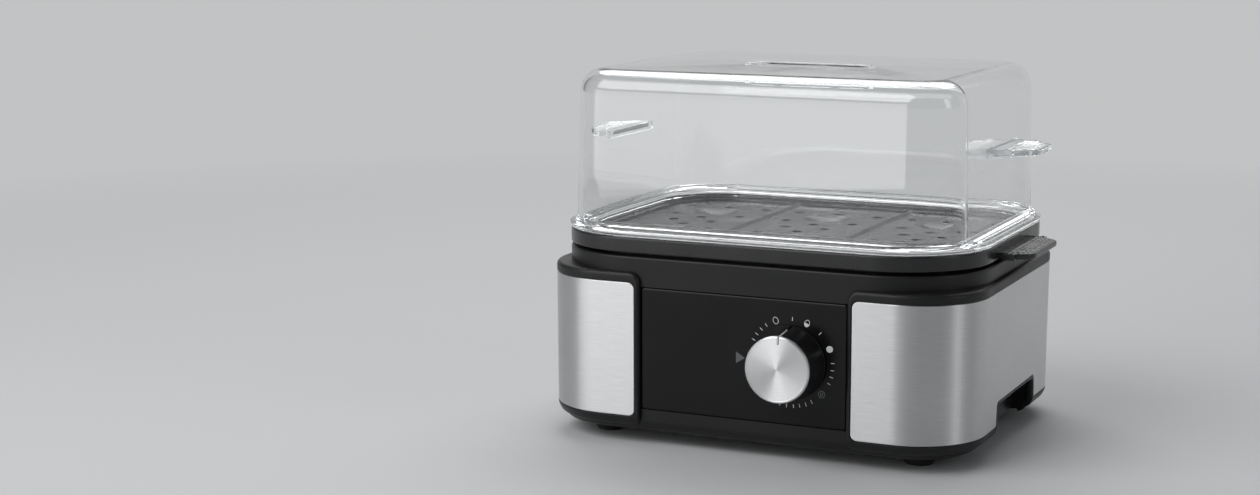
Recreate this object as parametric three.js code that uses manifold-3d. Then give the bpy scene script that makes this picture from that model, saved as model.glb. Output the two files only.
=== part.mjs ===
// Electric egg boiler for six eggs: base, steel side wraps, perforated tray, clear hood and one knob.
// Millimetres, +Z up, front towards -Y, worktop at z = 0, +X to the right of someone facing the knob.

import * as THREE from 'three';
import { mergeVertices } from 'three/addons/utils/BufferGeometryUtils.js';
import Module from 'manifold-3d';

const wasm = await Module();
wasm.setup();

// Driving dimensions of the body
const bodyWidth = 247;
const bodyDepth = 200;
const podHeight = 86;
const podCornerRadius = 40;
const podEdgeRadius = 2;
const podInnerCornerRadius = 6;
const bayWidth = 118;
const bodyDraft = 0.5;
const neckInset = 3.1;
const neckRise = 8.3;
const neckCornerRadius = 52;
const neckEdge = 0.8;
const rimDrop = 0.6;
const podLift = 2.4;
const undersideRoundInset = 6;
const undersideRoundHeight = 7;
const wall = 2.5;
const roofThickness = 3;

// Clearances shared by all pieces
const seatGap = 0.3;
const liftGap = 0.3;
const overrun = 5;

// Feet and bottom cover
const footHeight = 7.6;
const footRadius = 9;
const footWaistRadius = 7.6;
const footBevelHeight = 2.5;
const footStemRadius = 2.5;
const footStemLength = 4;
const footInsetX = 33.5;
const footInsetY = 31;
const coverThickness = 2.2;
const coverClearance = 0.5;
const ventSlotLength = 34;
const ventSlotWidth = 3;
const ventSlotPitch = 9;
const ventGroupX = 45;
const ventGroupY = -6;
const ventSlotCount = 6;

// Finger recess in each side
const recessHalfLength = 36.5;
const recessTopHalfLength = 35.5;
const recessHeight = 19.5;
const recessDepth = 14;
const recessCornerRadius = 3;

// Steel side wraps
const steelThickness = 1;
const steelSink = 0.1;
const steelFrameSide = 2.6;
const steelFrameTop = 5.4;
const steelFrameBottom = 6.4;
const steelCornerRadius = 3.5;
const steelRecessMargin = 2.5;

// Front fascia
const fasciaThickness = 2.5;
const fasciaProud = 0.6;
const fasciaTopDrop = 8.2;
const fasciaHeight = 66.9;
const fasciaSideGap = 0.4;
const fasciaCornerRadius = 1.5;
const bayWallDepth = 6.6;
const bayWallMargin = 3;

// Dish seat in the neck
const dishLedgeDepth = 4.7;
const dishOpeningInset = 14.4;
const dishFlangeInset = 7.4;
const dishClearance = 0.7;
const dishSheet = 1;
const dishDepth = 14;
const dishDraft = 6.5;
const dishFloorRadius = 4;
const sealThickness = 1;

// Egg tray
const grooveHeight = 1.8;
const bandHeight = 8.5;
const bandInset = 0.4;
const bandCornerRadius = 50;
const bandWall = 2.7;
const bandEdge = 0.8;
const plateDepth = 4;
const plateThickness = 2;
const rimWidth = 8.5;
const rimStepDepth = 2;
const middleStepDepth = 2.8;
const middleStepWidth = 4;
const lowerStepWidth = 4.5;
const skirtWall = 2.6;
const seatPitchX = 69.2;
const seatPitchY = 69.6;
const seatRadius = 13.5;
const seatFloorRadius = 5.5;
const seatDepth = 3.4;
const seatWall = 1.6;
const seatBendShare = 0.62;
const ridgeWidth = 5;
const ridgeHeight = 1.2;
const steamHoleRadius = 2.7;
const trayTabReach = 17.5;
const trayTabThickness = 3.2;
const trayTabRootHalf = 34;
const trayTabTipHalf = 27;
const trayTabCornerRadius = 9;

// Clear hood
const hoodHeight = 88.1;
const hoodWall = 2.5;
const hoodLipClearance = 0.9;
const hoodWallInset = 8.4;
const hoodCornerRadius = 27;
const hoodDraft = 1.6;
const hoodTopRadius = 13.5;
const hoodLipDrop = 1.7;
const hoodFlangeOverhang = 0.8;
const hoodFlangeThickness = 2.3;
const hoodStepHeight = 2;
const hoodStepInset = 3.4;
const hoodStepCornerRadius = 42;
const hoodTabHeight = 48.6;
const hoodTabThickness = 3.3;
const hoodTabRibReach = 2;
const hoodTabRibRise = 0.7;
const hoodTabRibDrop = 1.2;
const hoodTabReach = 25;
const hoodTabRootHalf = 29;
const hoodTabShoulderHalf = 27;
const hoodTabShoulderReach = 11;
const hoodTabTipHalf = 15;
const gripLength = 70;
const gripWidth = 22;
const gripDepth = 4;
const ventHoleRadius = 2.2;
const ventHoleX = 17;

// Knob and regulator
const dialInset = 31.35;
const dialX = bayWidth / 2 - dialInset;
const dialDrop = 41.4;
const knobGap = 0.6;
const knobDepth = 20;
const knobBaseRadius = 19.8;
const knobFrontRadius = 17.7;
const knobFaceThickness = 2.3;
const knobFaceChamfer = 0.5;
const knobWeb = 2.5;
const knobShell = 2.6;
const knobBossRadius = 6;
const knobBossSetback = 2;
const knobBoreDepth = 11;
const knobRestAngle = 2.3;
const pointerWidth = 1;
const pointerDepth = 1;
const pointerProud = 0.15;
const pointerSlotLength = 4.5;
const clipThickness = 0.8;
const clipWidth = 4;
const clipOpeningAngle = 60;
const shaftRadius = 3;
const shaftFlat = 2.2;
const shaftClearance = 0.3;
const shaftInsertion = 18;
const sleeveRadius = 5;
const sleeveSetback = 0.6;
const regulatorWidth = 34;
const regulatorHeight = 36;
const regulatorDepth = 27;
const regulatorCornerRadius = 3;
const regulatorPlateThickness = 1.5;
const regulatorPlateWidth = 47.2;
const regulatorPlateHeight = 40;
const regulatorScrewX = 20.5;
const terminalTabWidth = 6.3;
const terminalTabThickness = 0.8;
const terminalTabLength = 8;
const terminalTabSpacing = 16;

// Indicator lamp
const lensLength = 5.1;
const lensHalfHeight = 3.1;
const lensProud = 0.15;
const lensClearance = 0.2;
const lensFlangeThickness = 1;
const lensFlangeSize = 10;
const lampRadius = 2.5;
const lampHolderWidth = 8.8;
const lampHolderHeight = 22;
const lampHolderDepth = 9;
const lampBoreDepth = 7;

// Screws
const screwRadius = 1.4;
const screwHoleRadius = 1.7;
const screwHeadRadius = 2.8;
const screwHeadHeight = 1.8;
const bossHalf = 4.5;
const bottomScrewInsetX = 20.5;
const bottomScrewInsetY = 49;
const bottomScrewLength = 12;
const bottomBossHeight = 20;
const dishScrewX = 58;
const dishScrewLength = 9;
const dishBossHeight = 12;
const dishHeadDepth = 1.6;
const fasciaScrewX = 50;
const fasciaScrewMargin = 6.5;
const fasciaScrewSkin = 1.2;

// Heater under the dish
const spreaderRadius = 50;
const spreaderThickness = 3;
const elementRadius = 38;
const elementTubeRadius = 3.3;
const elementEndAngle = 24;
const elementDrop = 13;
const elementBendRadius = 6;
const pinRadius = 1.2;
const pinLength = 5;
const clampWidth = 12;
const clampThickness = 1.2;
const clampFootLength = 6;
const thermostatY = -19;
const thermostatRadius = 8;
const thermostatHeight = 5;
const thermostatBodyRadius = 6.4;
const thermostatBodyHeight = 6;
const thermostatTabSpacing = 7;
const thermostatTabLength = 6;
const bracketReach = 13;
const bracketWidth = 5;
const fuseScrewY = 17;
const fuseY = 24;
const fuseRadius = 2.2;
const fuseLength = 14;
const fuseLeadRadius = 0.6;
const fuseLeadLength = 6;
const fuseClipWidth = 7;

// Parts standing on the bottom cover, and the cord gland
const terminalBlockInset = 38;
const terminalBlockLength = 32;
const terminalBlockWidth = 15;
const terminalBlockHeight = 13;
const terminalPitch = 10;
const terminalBarrelRadius = 2.6;
const buzzerX = -48;
const buzzerInset = 42;
const buzzerRadius = 9;
const buzzerHeight = 9;
const buzzerHoleRadius = 1.5;
const buzzerHoleDepth = 3;
const glandX = 34;
const glandHeight = 34;
const glandRadius = 6.5;
const glandFlangeRadius = 8.5;
const glandFlangeThickness = 2.4;
const glandCollarLength = 2.4;
const glandBoreRadius = 4;
const leadRadius = 1.1;
const leadSag = 14;
const leadClearance = 0.4;

// Facet counts
const cornerSteps = 5;
const roundSteps = 3;
const turnSteps = 20;
const smallTurnSteps = 8;
const seatTurnSteps = 16;
const holeSteps = 8;
const elementRingPoints = 16;
const elementTubeSteps = 48;
const leadSteps = 18;
const leadSides = 6;

// Places that follow from the width and depth of the body
const footX = bodyWidth / 2 - footInsetX;
const footY = bodyDepth / 2 - footInsetY;
const bottomScrewX = bodyWidth / 2 - bottomScrewInsetX;
const bottomScrewY = bodyDepth / 2 - bottomScrewInsetY;
const terminalBlockX = glandX;
const terminalBlockY = bodyDepth / 2 - terminalBlockInset;
const buzzerY = buzzerInset - bodyDepth / 2;

// Heights and faces that follow from the driving dimensions
const coverUnderside = footHeight;
const coverTop = coverUnderside + coverThickness;
const housingBottom = coverUnderside - rimDrop;
const podBottom = housingBottom + podLift;
const podTop = podBottom + podHeight;
const neckTop = podTop + neckRise;
const ledgeZ = neckTop - dishLedgeDepth;
const roofUnderside = ledgeZ - roofThickness;
const sealTop = ledgeZ + sealThickness;
const flangeTop = sealTop + dishSheet;
const dishUnderside = flangeTop - dishDepth - dishSheet;
const skirtBottom = flangeTop + liftGap;
const bandBottom = neckTop + grooveHeight;
const bandTop = bandBottom + bandHeight;
const plateTop = bandTop - plateDepth;
const plateUnderside = plateTop - plateThickness;
const hoodBottom = bandTop + liftGap;
const hoodTop = hoodBottom + hoodHeight;
const recessTop = housingBottom + recessHeight;
const steelBottom = podBottom + steelFrameBottom;
const steelTop = podTop - steelFrameTop;
const fasciaTop = podTop - fasciaTopDrop;
const fasciaBottom = fasciaTop - fasciaHeight;
const dialZ = podTop - dialDrop;
const spreaderTop = dishUnderside - seatGap;
const spreaderUnderside = spreaderTop - spreaderThickness;
const elementCentreZ = spreaderUnderside - seatGap - elementTubeRadius;
const elementEndZ = elementCentreZ - elementDrop;
const elementBendDegrees = THREE.MathUtils.radToDeg(elementBendRadius / elementRadius);
const halfTurn = Math.PI;
const quarterTurn = Math.PI / 2;
const rearDegrees = 90;
const fullDegrees = 360;

// Outlines seen from above: rounded rectangles about the body's centre
const podOutline = { halfX: bodyWidth / 2, halfY: bodyDepth / 2, radius: podCornerRadius };
const neckOutline = {
  halfX: podOutline.halfX - neckInset,
  halfY: podOutline.halfY - neckInset,
  radius: neckCornerRadius,
};
const bandOutline = {
  halfX: neckOutline.halfX - bandInset,
  halfY: neckOutline.halfY - bandInset,
  radius: bandCornerRadius,
};
const hoodLipOutline = inset(bandOutline, rimWidth + hoodLipClearance);
const hoodFlangeOutline = inset(bandOutline, -hoodFlangeOverhang);
const hoodStepOutline = {
  halfX: bandOutline.halfX - hoodStepInset,
  halfY: bandOutline.halfY - hoodStepInset,
  radius: hoodStepCornerRadius,
};
const hoodOutline = {
  halfX: bandOutline.halfX - hoodWallInset,
  halfY: bandOutline.halfY - hoodWallInset,
  radius: hoodCornerRadius,
};
const flangeSeatOutline = inset(neckOutline, dishFlangeInset);
const dishOpeningOutline = inset(neckOutline, dishOpeningInset);
const mountingFaceY = -(neckOutline.halfY - bayWallDepth);

// An outline drawn in all round by a distance
function inset(outline, distance) {
  return {
    halfX: outline.halfX - distance,
    halfY: outline.halfY - distance,
    radius: Math.max(outline.radius - distance, podEdgeRadius),
  };
}

// How far the leaning faces have come in at a height
function draftAt(z) {
  return bodyDraft * Math.max(podTop - z, 0) / podHeight;
}

// The front face of the fascia at a height
function fasciaFaceY(z) {
  return -(neckOutline.halfY + fasciaProud - draftAt(z));
}

// A degree value in radians
function radians(degrees) {
  return THREE.MathUtils.degToRad(degrees);
}

// The points of a rounded rectangle, counter-clockwise
function outlinePoints({ halfX, halfY, radius }) {
  const points = [];
  const corners = [[1, 1], [-1, 1], [-1, -1], [1, -1]];
  corners.forEach(([signX, signY], corner) => {
    for (let step = 0; step <= cornerSteps; step += 1) {
      const angle = quarterTurn * (corner + step / cornerSteps);
      const x = signX * (halfX - radius) + radius * Math.cos(angle);
      const y = signY * (halfY - radius) + radius * Math.sin(angle);
      points.push(new THREE.Vector2(x, y));
    }
  });
  return points;
}

// A closed geometry becomes a solid that can be cut and joined, with its faces pointing out
function solid(geometry) {
  const bare = geometry.clone();
  bare.deleteAttribute('normal');
  bare.deleteAttribute('uv');
  const merged = mergeVertices(bare);
  const position = merged.getAttribute('position').array;
  const triangles = [];
  let volume = 0;
  const corner = [new THREE.Vector3(), new THREE.Vector3(), new THREE.Vector3()];
  for (let i = 0; i < merged.index.count; i += 3) {
    const [a, b, c] = merged.index.array.slice(i, i + 3);
    if (a !== b && b !== c && c !== a) {
      triangles.push([a, b, c]);
      [a, b, c].forEach((vertex, k) => corner[k].fromArray(position, 3 * vertex));
      volume += corner[0].dot(corner[1].clone().cross(corner[2]));
    }
  }
  const facing = volume < 0 ? triangles.map(([a, b, c]) => [a, c, b]) : triangles;
  const triVerts = new Uint32Array(facing.flat());
  return new wasm.Manifold(new wasm.Mesh({ numProp: 3, vertProperties: position, triVerts }));
}

// Rounded rectangles stacked at rising heights, closed at both ends
function stack(sections) {
  const loops = sections.map(({ outline, z }) => outlinePoints(outline).map((p) => [p.x, p.y, z]));
  const count = loops[0].length;
  const positions = loops.flat(2);
  positions.push(0, 0, sections[0].z, 0, 0, sections[sections.length - 1].z);
  const bottomCentre = loops.length * count;
  const topCentre = bottomCentre + 1;
  const topStart = (loops.length - 1) * count;
  const indices = [];
  for (let i = 0; i < count; i += 1) {
    const next = (i + 1) % count;
    for (let level = 0; level < loops.length - 1; level += 1) {
      const low = level * count;
      const high = low + count;
      indices.push(low + i, low + next, high + next, low + i, high + next, high + i);
    }
    indices.push(bottomCentre, next, i, topCentre, topStart + i, topStart + next);
  }
  const geometry = new THREE.BufferGeometry();
  geometry.setAttribute('position', new THREE.Float32BufferAttribute(positions, 3));
  geometry.setIndex(indices);
  return solid(geometry);
}

// A straight-sided stack between two heights
function slab(outline, low, high) {
  return stack([{ outline, z: low }, { outline, z: high }]);
}

// A box between opposite corners
function block(x0, x1, y0, y1, z0, z1) {
  const geometry = new THREE.BoxGeometry(x1 - x0, y1 - y0, z1 - z0);
  geometry.translate((x0 + x1) / 2, (y0 + y1) / 2, (z0 + z1) / 2);
  return solid(geometry);
}

// A flat shape given a depth
function extruded(shape, depth, curveSegments = cornerSteps) {
  return new THREE.ExtrudeGeometry(shape, { depth, bevelEnabled: false, curveSegments });
}

// A flat shape pushed along Z
function prismZ(shape, low, high) {
  const geometry = extruded(shape, high - low);
  geometry.translate(0, 0, low);
  return solid(geometry);
}

// A shape drawn in X and Z, pushed along Y
function prismY(shape, near, far) {
  const geometry = extruded(shape, far - near);
  geometry.rotateX(quarterTurn);
  geometry.translate(0, far, 0);
  return solid(geometry);
}

// A shape drawn in Y and Z, pushed along X
function prismX(shape, left, right) {
  const geometry = extruded(shape, right - left);
  const axes = new THREE.Matrix4().makeBasis(
    new THREE.Vector3(0, 1, 0),
    new THREE.Vector3(0, 0, 1),
    new THREE.Vector3(1, 0, 0),
  );
  geometry.applyMatrix4(axes);
  geometry.translate(left, 0, 0);
  return solid(geometry);
}

// A profile of [radius, distance] pairs turned about its axis
function lathe(profile, steps) {
  return new THREE.LatheGeometry(profile.map(([r, along]) => new THREE.Vector2(r, along)), steps);
}

// A profile of [radius, height] pairs turned about an upright axis
function turnedUpright(profile, x, y, steps = turnSteps) {
  const geometry = lathe(profile, steps);
  geometry.rotateX(quarterTurn);
  geometry.translate(x, y, 0);
  return solid(geometry);
}

// A profile of [radius, y] pairs turned about an axis that runs front to back
function turnedLevel(profile, x, z, steps = turnSteps) {
  const geometry = lathe(profile, steps);
  geometry.translate(x, 0, z);
  return solid(geometry);
}

// A round bar standing upright
function post(radius, x, y, low, high, steps = smallTurnSteps) {
  return turnedUpright([[0, low], [radius, low], [radius, high], [0, high]], x, y, steps);
}

// A round bar lying front to back
function bar(radius, x, z, near, far, steps = smallTurnSteps) {
  return turnedLevel([[0, near], [radius, near], [radius, far], [0, far]], x, z, steps);
}

// A round tube along a list of points
function tube(points, radius, steps, sides = holeSteps) {
  const ring = new THREE.Shape();
  for (let side = 0; side < sides; side += 1) {
    const angle = 2 * halfTurn * side / sides;
    const corner = [radius * Math.cos(angle), radius * Math.sin(angle)];
    if (side === 0) ring.moveTo(...corner);
    else ring.lineTo(...corner);
  }
  ring.closePath();
  const path = new THREE.CatmullRomCurve3(points.map((p) => new THREE.Vector3(...p)), false, 'centripetal');
  return solid(new THREE.ExtrudeGeometry(ring, { steps, extrudePath: path, bevelEnabled: false }));
}

// A rectangle with a radius of its own at each corner, from lower left round to upper left
function panelShape(x0, x1, y0, y1, [lowerLeft, lowerRight, upperRight, upperLeft]) {
  const lastQuarter = 3 * quarterTurn;
  const shape = new THREE.Shape();
  shape.moveTo(x0 + lowerLeft, y0);
  shape.lineTo(x1 - lowerRight, y0);
  if (lowerRight > 0) shape.absarc(x1 - lowerRight, y0 + lowerRight, lowerRight, -quarterTurn, 0, false);
  shape.lineTo(x1, y1 - upperRight);
  if (upperRight > 0) shape.absarc(x1 - upperRight, y1 - upperRight, upperRight, 0, quarterTurn, false);
  shape.lineTo(x0 + upperLeft, y1);
  if (upperLeft > 0) shape.absarc(x0 + upperLeft, y1 - upperLeft, upperLeft, quarterTurn, halfTurn, false);
  shape.lineTo(x0, y0 + lowerLeft);
  if (lowerLeft > 0) shape.absarc(x0 + lowerLeft, y0 + lowerLeft, lowerLeft, halfTurn, lastQuarter, false);
  return shape;
}

// Solids joined into one
function join(first, ...others) {
  return others.reduce((whole, other) => whole.add(other), first);
}

// A solid with others taken away
function cut(first, ...others) {
  return others.reduce((whole, other) => whole.subtract(other), first);
}

// A solid as a named mesh
function piece(name, body, material) {
  const mesh = body.getMesh();
  const geometry = new THREE.BufferGeometry();
  geometry.setAttribute('position', new THREE.Float32BufferAttribute(mesh.vertProperties, 3));
  geometry.setIndex(new THREE.Uint32BufferAttribute(mesh.triVerts, 1));
  const found = new THREE.Mesh(geometry, material);
  found.name = name;
  return found;
}

// A plain material
function finish(colour, roughness, metalness, more = {}) {
  return new THREE.MeshStandardMaterial({ color: colour, roughness, metalness, flatShading: true, ...more });
}
const blackPlastic = finish('#161617', 0.5, 0);
const glossBlack = finish('#0d0d0e', 0.25, 0);
const brushedSteel = finish('#b9babc', 0.35, 1);
const clearPlastic = finish('#eef2f5', 0.05, 0, { transparent: true, opacity: 0.3 });
const spunAluminium = finish('#c9cacd', 0.3, 1);
const plainSteel = finish('#8f9296', 0.4, 1);
const aluminium = finish('#a8abb0', 0.5, 1);
const rubber = finish('#202020', 0.9, 0);
const silicone = finish('#8d8f90', 0.8, 0);
const greyPlastic = finish('#6f7174', 0.5, 0);
const palePlastic = finish('#d9d6cc', 0.6, 0);
const leadJacket = finish('#b9a13c', 0.7, 0);
const lampGlass = finish('#d8763a', 0.2, 0);

// Levels of a body form: rounded in below, leaning sides, straight above the pod shoulder
function bodyLevels(outline, bottom) {
  const levels = [];
  for (let step = 0; step <= roundSteps; step += 1) {
    const angle = quarterTurn * step / roundSteps;
    const z = bottom + undersideRoundHeight * (1 - Math.cos(angle));
    const drawnIn = draftAt(z) + undersideRoundInset * (1 - Math.sin(angle));
    levels.push({ outline: inset(outline, drawnIn), z });
  }
  return levels;
}

// The raised body form that the pods are cut from, with a rounded shoulder
function podForm(drawnIn = 0) {
  const outline = inset(podOutline, drawnIn);
  const levels = bodyLevels(outline, podBottom);
  for (let step = 0; step <= roundSteps; step += 1) {
    const angle = quarterTurn * step / roundSteps;
    const z = podTop - podEdgeRadius * (1 - Math.sin(angle));
    levels.push({ outline: inset(outline, draftAt(z) + podEdgeRadius * (1 - Math.cos(angle))), z });
  }
  return stack(levels);
}

// The core of the housing between the pods, with the neck ring that rises above it
function coreForm() {
  const core = inset(podOutline, neckInset);
  const shoulder = podTop - podEdgeRadius;
  const levels = bodyLevels(core, housingBottom);
  levels.push({ outline: inset(core, draftAt(shoulder)), z: shoulder });
  const neck = stack([
    { outline: inset(neckOutline, draftAt(fasciaTop)), z: fasciaTop },
    { outline: neckOutline, z: podTop },
    { outline: neckOutline, z: neckTop - neckEdge },
    { outline: inset(neckOutline, neckEdge), z: neckTop },
  ]);
  return join(stack(levels), neck);
}

// The two windows, one each side, that leave the pods standing
function podWindow(side) {
  const innerX = bayWidth / 2;
  const outerX = podOutline.halfX + overrun;
  const corners = [podInnerCornerRadius, 0, 0, podInnerCornerRadius];
  const shape = panelShape(innerX, outerX, podBottom, podTop, corners);
  return mirrored(prismY(shape, -bodyDepth, bodyDepth), side);
}

// A solid made for the right side, turned over to the left where side is -1
function mirrored(body, side) {
  return side > 0 ? body : body.mirror([1, 0, 0]);
}

// The space of the finger recess, grown by a margin
function fingerRecess(side, margin) {
  const foot = recessHalfLength + margin;
  const shoulder = recessTopHalfLength + margin;
  const top = recessTop + margin;
  const radius = recessCornerRadius;
  const shape = new THREE.Shape();
  shape.moveTo(-foot, housingBottom - overrun);
  shape.lineTo(foot, housingBottom - overrun);
  shape.lineTo(foot, housingBottom);
  shape.lineTo(shoulder, top - radius);
  shape.quadraticCurveTo(shoulder, top, shoulder - radius, top);
  shape.lineTo(radius - shoulder, top);
  shape.quadraticCurveTo(-shoulder, top, -shoulder, top - radius);
  shape.lineTo(-foot, housingBottom);
  shape.closePath();
  const innerX = podOutline.halfX - recessDepth - margin;
  return mirrored(prismX(shape, innerX, podOutline.halfX + overrun), side);
}

// The window that the steel wrap fills on one side, grown by a margin
function steelWindow(side, margin) {
  const innerX = bayWidth / 2 + steelFrameSide - margin;
  const radius = steelCornerRadius + margin;
  const outerX = podOutline.halfX + overrun;
  const shape = panelShape(innerX, outerX, steelBottom - margin, steelTop + margin, [radius, 0, 0, radius]);
  return mirrored(prismY(shape, -bodyDepth, bodyDepth), side);
}

// A skin of the pod form between two depths
function podSkin(outerDepth, innerDepth) {
  const levels = (depth) => {
    const outline = inset(podOutline, depth);
    const heights = [podBottom + undersideRoundHeight, podTop];
    const foot = { outline: inset(outline, draftAt(podBottom)), z: podBottom };
    return [foot, ...heights.map((z) => ({ outline: inset(outline, draftAt(z)), z }))];
  };
  return cut(stack(levels(outerDepth)), stack(levels(innerDepth)));
}

// A plate leaning with the body: its front face is set by a depth behind the fascia's face
function leaningPlate(halfWidth, low, high, depth, backY, radius) {
  const face = new THREE.Shape();
  face.moveTo(fasciaFaceY(low) + depth, low);
  face.lineTo(fasciaFaceY(high) + depth, high);
  face.lineTo(backY(high), high);
  face.lineTo(backY(low), low);
  face.closePath();
  const outline = panelShape(-halfWidth, halfWidth, low, high, [radius, radius, radius, radius]);
  return prismX(face, -halfWidth, halfWidth).intersect(prismY(outline, -bodyDepth, 0));
}

// The four places of something mirrored about both axes
function fourPlaces(x, y) {
  return [[x, -y], [-x, -y], [x, y], [-x, y]];
}

// The middle line of the dish flange, where its screws go
const dishScrewY = (flangeSeatOutline.halfY + dishOpeningOutline.halfY) / 2;
const dishScrewPlaces = fourPlaces(dishScrewX, dishScrewY);
const bottomScrewPlaces = fourPlaces(bottomScrewX, bottomScrewY);
const footPlaces = fourPlaces(footX, footY);
const fasciaScrewPlaces = [fasciaBottom + fasciaScrewMargin, fasciaTop - fasciaScrewMargin]
  .flatMap((z) => [[fasciaScrewX, z], [-fasciaScrewX, z]]);
const regulatorScrewPlaces = [[dialX - regulatorScrewX, dialZ], [dialX + regulatorScrewX, dialZ]];
const lensCentreX = dialX - regulatorPlateWidth / 2 - seatGap - lampHolderWidth / 2;
const lensX = lensCentreX - lensLength / 2;
const lensFlangeFrontY = fasciaFaceY(dialZ - lensFlangeSize / 2) + fasciaThickness;

// The room inside the housing, following its walls
function housingRoom() {
  const lower = inset(podOutline, neckInset + wall);
  const upper = inset(neckOutline, wall);
  const lowerLevels = bodyLevels(lower, housingBottom);
  lowerLevels.unshift({ outline: lowerLevels[0].outline, z: housingBottom - overrun });
  lowerLevels.push({ outline: inset(lower, draftAt(podTop - wall)), z: podTop - wall });
  const room = stack(lowerLevels).add(slab(upper, podTop - undersideRoundHeight, roofUnderside));
  const backing = block(
    -bayWidth / 2 - bayWallMargin,
    bayWidth / 2 + bayWallMargin,
    -bodyDepth / 2,
    mountingFaceY,
    fasciaBottom - bayWallMargin,
    podTop,
  );
  return cut(room, backing, fingerRecess(1, wall), fingerRecess(-1, wall));
}

// Bosses inside the housing: four under the dish ledge, four for the bottom cover
function housingBosses() {
  const bossFoot = roofUnderside - dishBossHeight;
  const dishBosses = dishScrewPlaces.map(([x, y]) => post(bossHalf, x, y, bossFoot, roofUnderside + wall));
  const reach = inset(podOutline, neckInset + wall).halfX;
  const coverBosses = bottomScrewPlaces.map(([x, y]) => {
    const side = Math.sign(x);
    const edges = [x - side * bossHalf, side * reach].sort((a, b) => a - b);
    return block(edges[0], edges[1], y - bossHalf, y + bossHalf, coverTop, coverTop + bottomBossHeight);
  });
  return join(...dishBosses, ...coverBosses);
}

function baseHousing() {
  const pods = join(podForm().intersect(podWindow(1)), podForm().intersect(podWindow(-1)));
  const outside = cut(join(coreForm(), pods), fingerRecess(1, 0), fingerRecess(-1, 0));
  const shell = cut(outside, housingRoom());
  const openings = [
    slab(flangeSeatOutline, ledgeZ, neckTop + overrun),
    slab(dishOpeningOutline, roofUnderside - overrun, neckTop + overrun),
  ];
  const body = join(cut(shell, ...openings), housingBosses().intersect(outside));
  const steelDepth = steelSink + steelThickness + seatGap;
  const seats = [1, -1].map((side) => cut(
    podSkin(-overrun, steelDepth).intersect(steelWindow(side, seatGap)),
    fingerRecess(side, steelRecessMargin - seatGap),
  ));
  const fasciaSeat = leaningPlate(
    bayWidth / 2 - fasciaSideGap + seatGap,
    fasciaBottom - seatGap,
    fasciaTop + seatGap,
    -overrun,
    (z) => fasciaFaceY(z) + fasciaThickness + seatGap,
    fasciaCornerRadius,
  );
  const frontHoles = [
    bar(sleeveRadius + 2 * shaftClearance, dialX, dialZ, -bodyDepth, mountingFaceY + overrun, turnSteps),
    block(
      lensCentreX - lensFlangeSize / 2 - seatGap,
      lensCentreX + lensFlangeSize / 2 + seatGap,
      -bodyDepth,
      mountingFaceY + overrun,
      dialZ - lensFlangeSize / 2 - seatGap,
      dialZ + lensFlangeSize / 2 + seatGap,
    ),
    ...[...fasciaScrewPlaces, ...regulatorScrewPlaces].map(([x, z]) => (
      bar(screwHoleRadius, x, z, -bodyDepth, mountingFaceY + overrun, holeSteps)
    )),
  ];
  const glandHole = bar(glandRadius + seatGap, glandX, glandHeight, 0, bodyDepth, turnSteps);
  const screwHoles = [
    ...dishScrewPlaces.map(([x, y]) => (
      post(screwHoleRadius, x, y, ledgeZ - dishScrewLength - seatGap, neckTop, holeSteps)
    )),
    ...dishScrewPlaces.map(([x, y]) => post(screwHeadRadius + seatGap, x, y, ledgeZ - seatGap, neckTop)),
    ...bottomScrewPlaces.map(([x, y]) => (
      post(screwHoleRadius, x, y, coverTop - overrun, coverTop + bottomScrewLength, holeSteps)
    )),
  ];
  return cut(body, ...seats, fasciaSeat, ...frontHoles, glandHole, ...screwHoles);
}

function steelWrap(side) {
  const skin = podSkin(steelSink, steelSink + steelThickness).intersect(steelWindow(side, 0));
  return cut(skin, fingerRecess(side, steelRecessMargin));
}

// The outline of the indicator lens, a small triangle pointing at the dial
function lensShape(margin) {
  const shape = new THREE.Shape();
  shape.moveTo(lensX - margin, dialZ - lensHalfHeight - 2 * margin);
  shape.lineTo(lensX + lensLength + 2 * margin, dialZ);
  shape.lineTo(lensX - margin, dialZ + lensHalfHeight + 2 * margin);
  shape.closePath();
  return shape;
}

function controlFascia() {
  const backOf = (z) => fasciaFaceY(z) + fasciaThickness;
  const halfWidth = bayWidth / 2 - fasciaSideGap;
  const plate = leaningPlate(halfWidth, fasciaBottom, fasciaTop, 0, backOf, fasciaCornerRadius);
  const screwHoles = fasciaScrewPlaces.map(([x, z]) => (
    bar(screwHoleRadius, x, z, fasciaFaceY(z) + fasciaScrewSkin - seatGap, 0, holeSteps)
  ));
  const shaftHole = bar(sleeveRadius + shaftClearance, dialX, dialZ, -bodyDepth, 0, turnSteps);
  return cut(plate, shaftHole, prismY(lensShape(lensClearance), -bodyDepth, 0), ...screwHoles);
}

function indicatorLens() {
  const half = lensFlangeSize / 2;
  const flange = block(
    lensCentreX - half,
    lensCentreX + half,
    lensFlangeFrontY,
    lensFlangeFrontY + lensFlangeThickness,
    dialZ - half,
    dialZ + half,
  );
  const stemBack = lensFlangeFrontY + lensFlangeThickness / 2;
  const stem = prismY(lensShape(0), fasciaFaceY(dialZ) - lensProud, stemBack);
  return join(stem, flange);
}

function lampHolder() {
  const halfX = lampHolderWidth / 2;
  const halfZ = lampHolderHeight / 2;
  const front = mountingFaceY;
  const back = front + lampHolderDepth;
  const body = block(lensCentreX - halfX, lensCentreX + halfX, front, back, dialZ - halfZ, dialZ + halfZ);
  const bore = bar(lampRadius + seatGap, lensCentreX, dialZ, front - overrun, front + lampBoreDepth);
  return cut(body, bore);
}

function indicatorLamp() {
  const back = mountingFaceY + lampBoreDepth - seatGap;
  return bar(lampRadius, lensCentreX, dialZ, lensFlangeFrontY + lensFlangeThickness + seatGap, back);
}

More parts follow.
